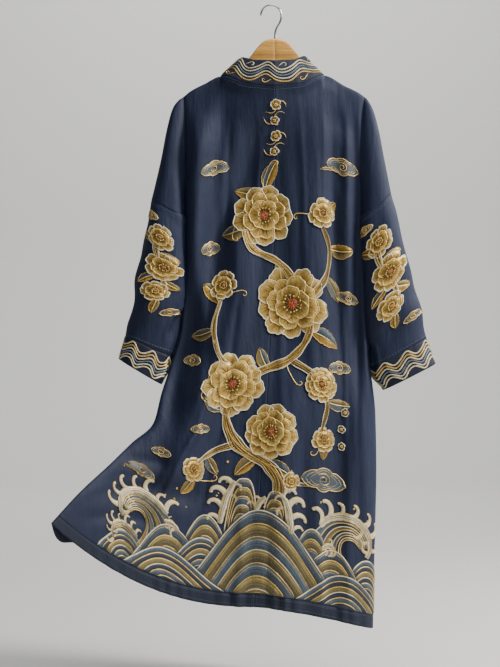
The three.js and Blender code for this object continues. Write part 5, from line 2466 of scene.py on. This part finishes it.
@dataclass
class Hanger:
    """The two glued halves of the wooden hanger and its wire hook, shaped in edit mode.

    dome is the top line of the middle of the wood by distance out from the joint, under is its bottom line,
    and stations are the distances out at which its section is drawn.
    """

    wood: Material
    wire: Material
    thickness: float = 13.0
    rounding: float = 5.6
    tip_depth: float = 27.0
    wire_radius: float = 2.0
    stem_foot: float = -96.0
    stem_top: float = -62.0
    hook_arc: float = math.radians(178)
    dome: tuple[Place, ...] = (
        (0, -68), (14, -70), (26, -76), (37, -87), (47, -100), (57, -112), (70, -126), (88, -140),
    )
    under: tuple[Place, ...] = ((0, -138), (40, -152), (95, -190))
    stations: tuple[float, ...] = (
        0.15, 7, 14, 20, 26, 31, 37, 42, 47, 52, 57, 63, 70, 79, 88, 98, 108, 120, 132, 144, 156,
    )

    def build(self) -> None:
        """Builds both halves and the hook."""
        for table in (LEFT, RIGHT):
            self._half(table)
        self._hook()

    def _outline(self, table: SideTable) -> tuple[Column, Column, float]:
        """The top and bottom lines of a half by distance out from the joint, and how far out its tip is.

        Args:
            table: The side's tables.

        Returns:
            Top line, bottom line and tip.
        """
        shares = np.linspace(table.neck, 0.9, 6)
        x = WOOD_CENTRE_X * (1 - shares) + table.edge[0, 1] * shares
        z = Column(table.top[:, 0], table.top[:, 1])(shares) - 3.6
        arm = joined(np.abs(x - WOOD_CENTRE_X), z)
        top = np.vstack([self.dome, arm])
        tip = float(arm[-1, 0])
        under = np.vstack([self.under, (tip, arm[-1, 1] - self.tip_depth)])
        return Column(top[:, 0], top[:, 1]), Column(under[:, 0], under[:, 1]), tip

    def _half(self, table: SideTable) -> None:
        """One half: a rounded section drawn out along the arm, then closed at its tip.

        Args:
            table: The side's tables.
        """
        top, under, tip = self._outline(table)
        stations = [s for s in self.stations if s < tip - 4] + [tip - 2, tip + 2]
        sizes = [(s, float(top(s)), float(under(s))) for s in stations]
        sizes[-1] = (tip + 2, sizes[-1][1] - 5, sizes[-1][2] + 6)
        out, high, low = sizes[0]
        bpy.ops.object.select_all(action="DESELECT")
        at = ((WOOD_CENTRE_X + table.sign * out) * MM, 0, (high + low) / 2 * MM)
        bpy.ops.mesh.primitive_plane_add(size=1, location=at, rotation=(0, math.pi / 2, 0))
        half = bpy.context.object
        half.name = half.data.name = f"hanger_half_{table.name}"
        bpy.ops.object.transform_apply(location=True, rotation=True, scale=True)
        bpy.ops.object.mode_set(mode="EDIT")
        choose_all()
        bpy.ops.transform.resize(value=(1, self.thickness * MM, (high - low) * MM), center_override=at)
        bpy.ops.mesh.bevel(offset=self.rounding * MM, segments=7, affect="VERTICES")
        choose_all()
        for (s0, t0, u0), (s1, t1, u1) in zip(sizes, sizes[1:]):
            drop = (t1 + u1 - t0 - u0) / 2
            step = (table.sign * (s1 - s0) * MM, 0, drop * MM)
            bpy.ops.mesh.extrude_region_move(TRANSFORM_OT_translate={"value": step})
            thin = 0.72 if s1 > tip else 1.0
            centre = ((WOOD_CENTRE_X + table.sign * s1) * MM, 0, (t1 + u1) / 2 * MM)
            bpy.ops.transform.resize(value=(1, thin, (t1 - u1) / (t0 - u0)), center_override=centre)
        choose_all()
        bpy.ops.mesh.normals_make_consistent(inside=False)
        bpy.ops.object.mode_set(mode="OBJECT")
        self._finish(half, self.wood, 0.5)
        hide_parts(f"hanger_wood_{table.name}")

    def _hook(self) -> None:
        """The hook: a ring section drawn up the stem, then spun round three bends."""
        bpy.ops.object.select_all(action="DESELECT")
        at = (WOOD_CENTRE_X * MM, 0, self.stem_foot * MM)
        radius = self.wire_radius * MM
        bpy.ops.mesh.primitive_circle_add(vertices=20, radius=radius, fill_type="NGON", location=at)
        hook = bpy.context.object
        hook.name = hook.data.name = "hook_wire"
        bpy.ops.object.transform_apply(location=True, rotation=True, scale=True)
        bpy.ops.object.mode_set(mode="EDIT")
        choose_all()
        rise = (self.stem_top - self.stem_foot) * MM
        bpy.ops.mesh.extrude_region_move(TRANSFORM_OT_translate={"value": (0, 0, rise)})
        aside, up = HOOK_RADIUS - WOOD_CENTRE_X, HOOK_CENTRE_Z - self.stem_top
        angle = 2 * math.atan2(aside, up)
        bend = up / math.sin(angle) / 2
        bends = (
            ((WOOD_CENTRE_X + bend, 0, self.stem_top), angle, -1, 12),
            ((HOOK_RADIUS - bend, 0, HOOK_CENTRE_Z), angle, 1, 12),
            ((0, 0, HOOK_CENTRE_Z), self.hook_arc, 1, 56),
        )
        for centre, turn, way, steps in bends:
            middle = tuple(c * MM for c in centre)
            bpy.ops.mesh.spin(steps=steps, angle=turn, center=middle, axis=(0, way, 0))
        tip = HOOK_RADIUS * math.cos(self.hook_arc)
        low = HOOK_CENTRE_Z + HOOK_RADIUS * math.sin(self.hook_arc)
        for down, size in ((0.9, 0.85), (0.7, 0.5)):
            bpy.ops.mesh.extrude_region_move(TRANSFORM_OT_translate={"value": (0, 0, -down * MM)})
            low -= down
            bpy.ops.transform.resize(value=(size, size, 1), center_override=(tip * MM, 0, low * MM))
        choose_all()
        bpy.ops.mesh.remove_doubles(threshold=0.00002)
        bpy.ops.mesh.normals_make_consistent(inside=False)
        bpy.ops.object.mode_set(mode="OBJECT")
        self._finish(hook, self.wire, 0.15)
        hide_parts("hanger_hook")

    def _finish(self, piece: Object, material: Material, bevel: float) -> None:
        """Bevels, smooths and paints a piece.

        Args:
            piece: The piece.
            material: Its finish.
            bevel: Width of its bevels.
        """
        rounded = piece.modifiers.new("rounded", "BEVEL")
        rounded.width, rounded.segments = bevel * MM, 2
        rounded.limit_method, rounded.angle_limit = "ANGLE", math.radians(40)
        bpy.ops.object.modifier_apply(modifier=rounded.name)
        bpy.ops.object.shade_smooth_by_angle(angle=math.radians(38))
        piece.data.materials.clear()
        piece.data.materials.append(material)
        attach(piece, "root")
        log.info("%s: %d faces", piece.name, len(piece.data.polygons))


# ---- Stage ----


@dataclass(frozen=True)
class Lamp:
    """A round area light: where it stands and points, its width, its power in watts and its colour."""

    name: str
    at: tuple[float, float, float]
    to: tuple[float, float, float]
    size: float
    power: float
    colour: Colour = (1.0, 1.0, 1.0)

    def build(self) -> None:
        """Adds the light."""
        data = bpy.data.lights.new(self.name, "AREA")
        data.shape, data.size, data.energy, data.color = "DISK", self.size, self.power, self.colour
        lamp = bpy.data.objects.new(self.name, data)
        lamp.location = self.at
        lamp.rotation_euler = (Vector(self.to) - Vector(self.at)).to_track_quat("-Z", "Y").to_euler()
        bpy.context.scene.collection.objects.link(lamp)


@dataclass
class Studio:
    """A pale sweep, soft lights and the camera, in metres."""

    finish: Material
    floor_z: float = -1.42
    half_width: float = 11.0
    near_edge: float = -10.0
    bend_start: float = 5.6
    bend_radius: float = 1.4
    bend_steps: int = 12
    wall_height: float = 8.0
    air_colour: tuple[float, ...] = (0.9, 0.93, 1.0, 1)
    air_strength: float = 0.2
    camera_at: tuple[float, ...] = (-0.0443, -4.2, -0.6876)
    lens: float = 107.95
    lamps: tuple[Lamp, ...] = (
        Lamp("key_light", (2.8, -1.2, 1.5), (0.0, 0.0, -0.5), 1.0, 215, (1.0, 0.98, 0.94)),
        Lamp("fill_light", (1.5, -3.5, 1.3), (0.0, 0.0, -0.5), 2.4, 8.5, (0.93, 0.96, 1.0)),
        Lamp("rim_light", (2.2, 1.2, 0.7), (0.1, 0.0, -0.6), 1.2, 46, (1.0, 0.98, 0.95)),
        Lamp("top_light", (0.5, -0.7, 1.9), (0.0, 0.0, -0.5), 1.6, 36),
        Lamp("backdrop_light", (0.0, 3.9, 3.2), (0.0, 7.0, -0.2), 2.4, 190),
    )

    def build(self) -> None:
        """Makes the floor, the lights and the camera."""
        self._sweep()
        for lamp in self.lamps:
            lamp.build()
        world = bpy.data.worlds.new("studio_air")
        world.use_nodes = True
        air = world.node_tree.nodes["Background"].inputs
        air[0].default_value, air[1].default_value = self.air_colour, self.air_strength
        bpy.context.scene.world = world
        self._camera()

    def _sweep(self) -> None:
        """A floor that curves up into a backdrop."""
        profile = [(self.near_edge, 0.0), (self.bend_start, 0.0)]
        for i in range(1, self.bend_steps + 1):
            a = i / self.bend_steps * math.pi / 2
            y = self.bend_start + self.bend_radius * math.sin(a)
            profile.append((y, self.bend_radius * (1 - math.cos(a))))
        profile.append((self.bend_start + self.bend_radius, self.wall_height))
        across = (-self.half_width, self.half_width)
        points = [(x, y, self.floor_z + z) for x in across for y, z in profile]
        n = len(profile)
        faces = [[i, n + i, n + i + 1, i + 1] for i in range(n - 1)]
        floor = make_object("studio_floor", np.array(points) / MM, faces, np.zeros((2 * n, 2)), self.finish)

    def _camera(self) -> None:
        """The camera, level and square to the robe's back."""
        data = bpy.data.cameras.new("view_camera")
        data.sensor_width, data.lens, data.clip_end = 36.0, self.lens, 60.0
        camera = bpy.data.objects.new("view_camera", data)
        camera.location = self.camera_at
        camera.rotation_euler = (math.pi / 2, 0, 0)
        bpy.context.scene.collection.objects.link(camera)
        bpy.context.scene.camera = camera


def main() -> None:
    """Builds the robe, its hanger and the studio."""
    logging.basicConfig(level=logging.INFO, format="%(name)s: %(message)s")
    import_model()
    Studio(FloorFinish("pale_floor", "d9d8d4").build()).build()
    finishes = {
        "robe": ClothFinish("navy_satin", "070b15", "243154").build(),
        "band": ClothFinish("navy_band", "080b14", "1f2942").build(),
        "hem": ClothFinish("navy_hem", "0a0e18", "252e44", roughness=0.68).build(),
    }
    cloth = RobeCloth(finishes)
    cloth.build()
    threads = {
        Thread.GOLD: ThreadFinish("gold_thread", "2c1e08", "b08a3e", "fbdd8e", 0.56, 0.33).build(),
        Thread.IVORY: ThreadFinish("ivory_silk", "574c34", "b9ab86", "f0e7cb", 0.08, 0.42).build(),
        Thread.BLUE: ThreadFinish("blue_grey_silk", "1d2630", "465663", "8393a0", 0.0, 0.42).build(),
        Thread.TAN: ThreadFinish("tan_silk", "2e2616", "786b3d", "b4a06b", 0.1, 0.42).build(),
        Thread.RED: ThreadFinish("red_silk", "4a120a", "9c3018", "d2602c", 0.0, 0.45).build(),
        Thread.NAVY: ThreadFinish("navy_silk", "0c121d", "1f2b3d", "3c4d62", 0.0, 0.45).build(),
    }
    sewn = Embroidery(cloth, threads).build()
    wood = WoodFinish("varnished_beech", "9a6220", "eebb62").build()
    Hanger(wood, WireFinish("bright_wire", "c9ccd0").build()).build()
    cloth.declare(sewn)


if __name__ == "__main__":
    main()
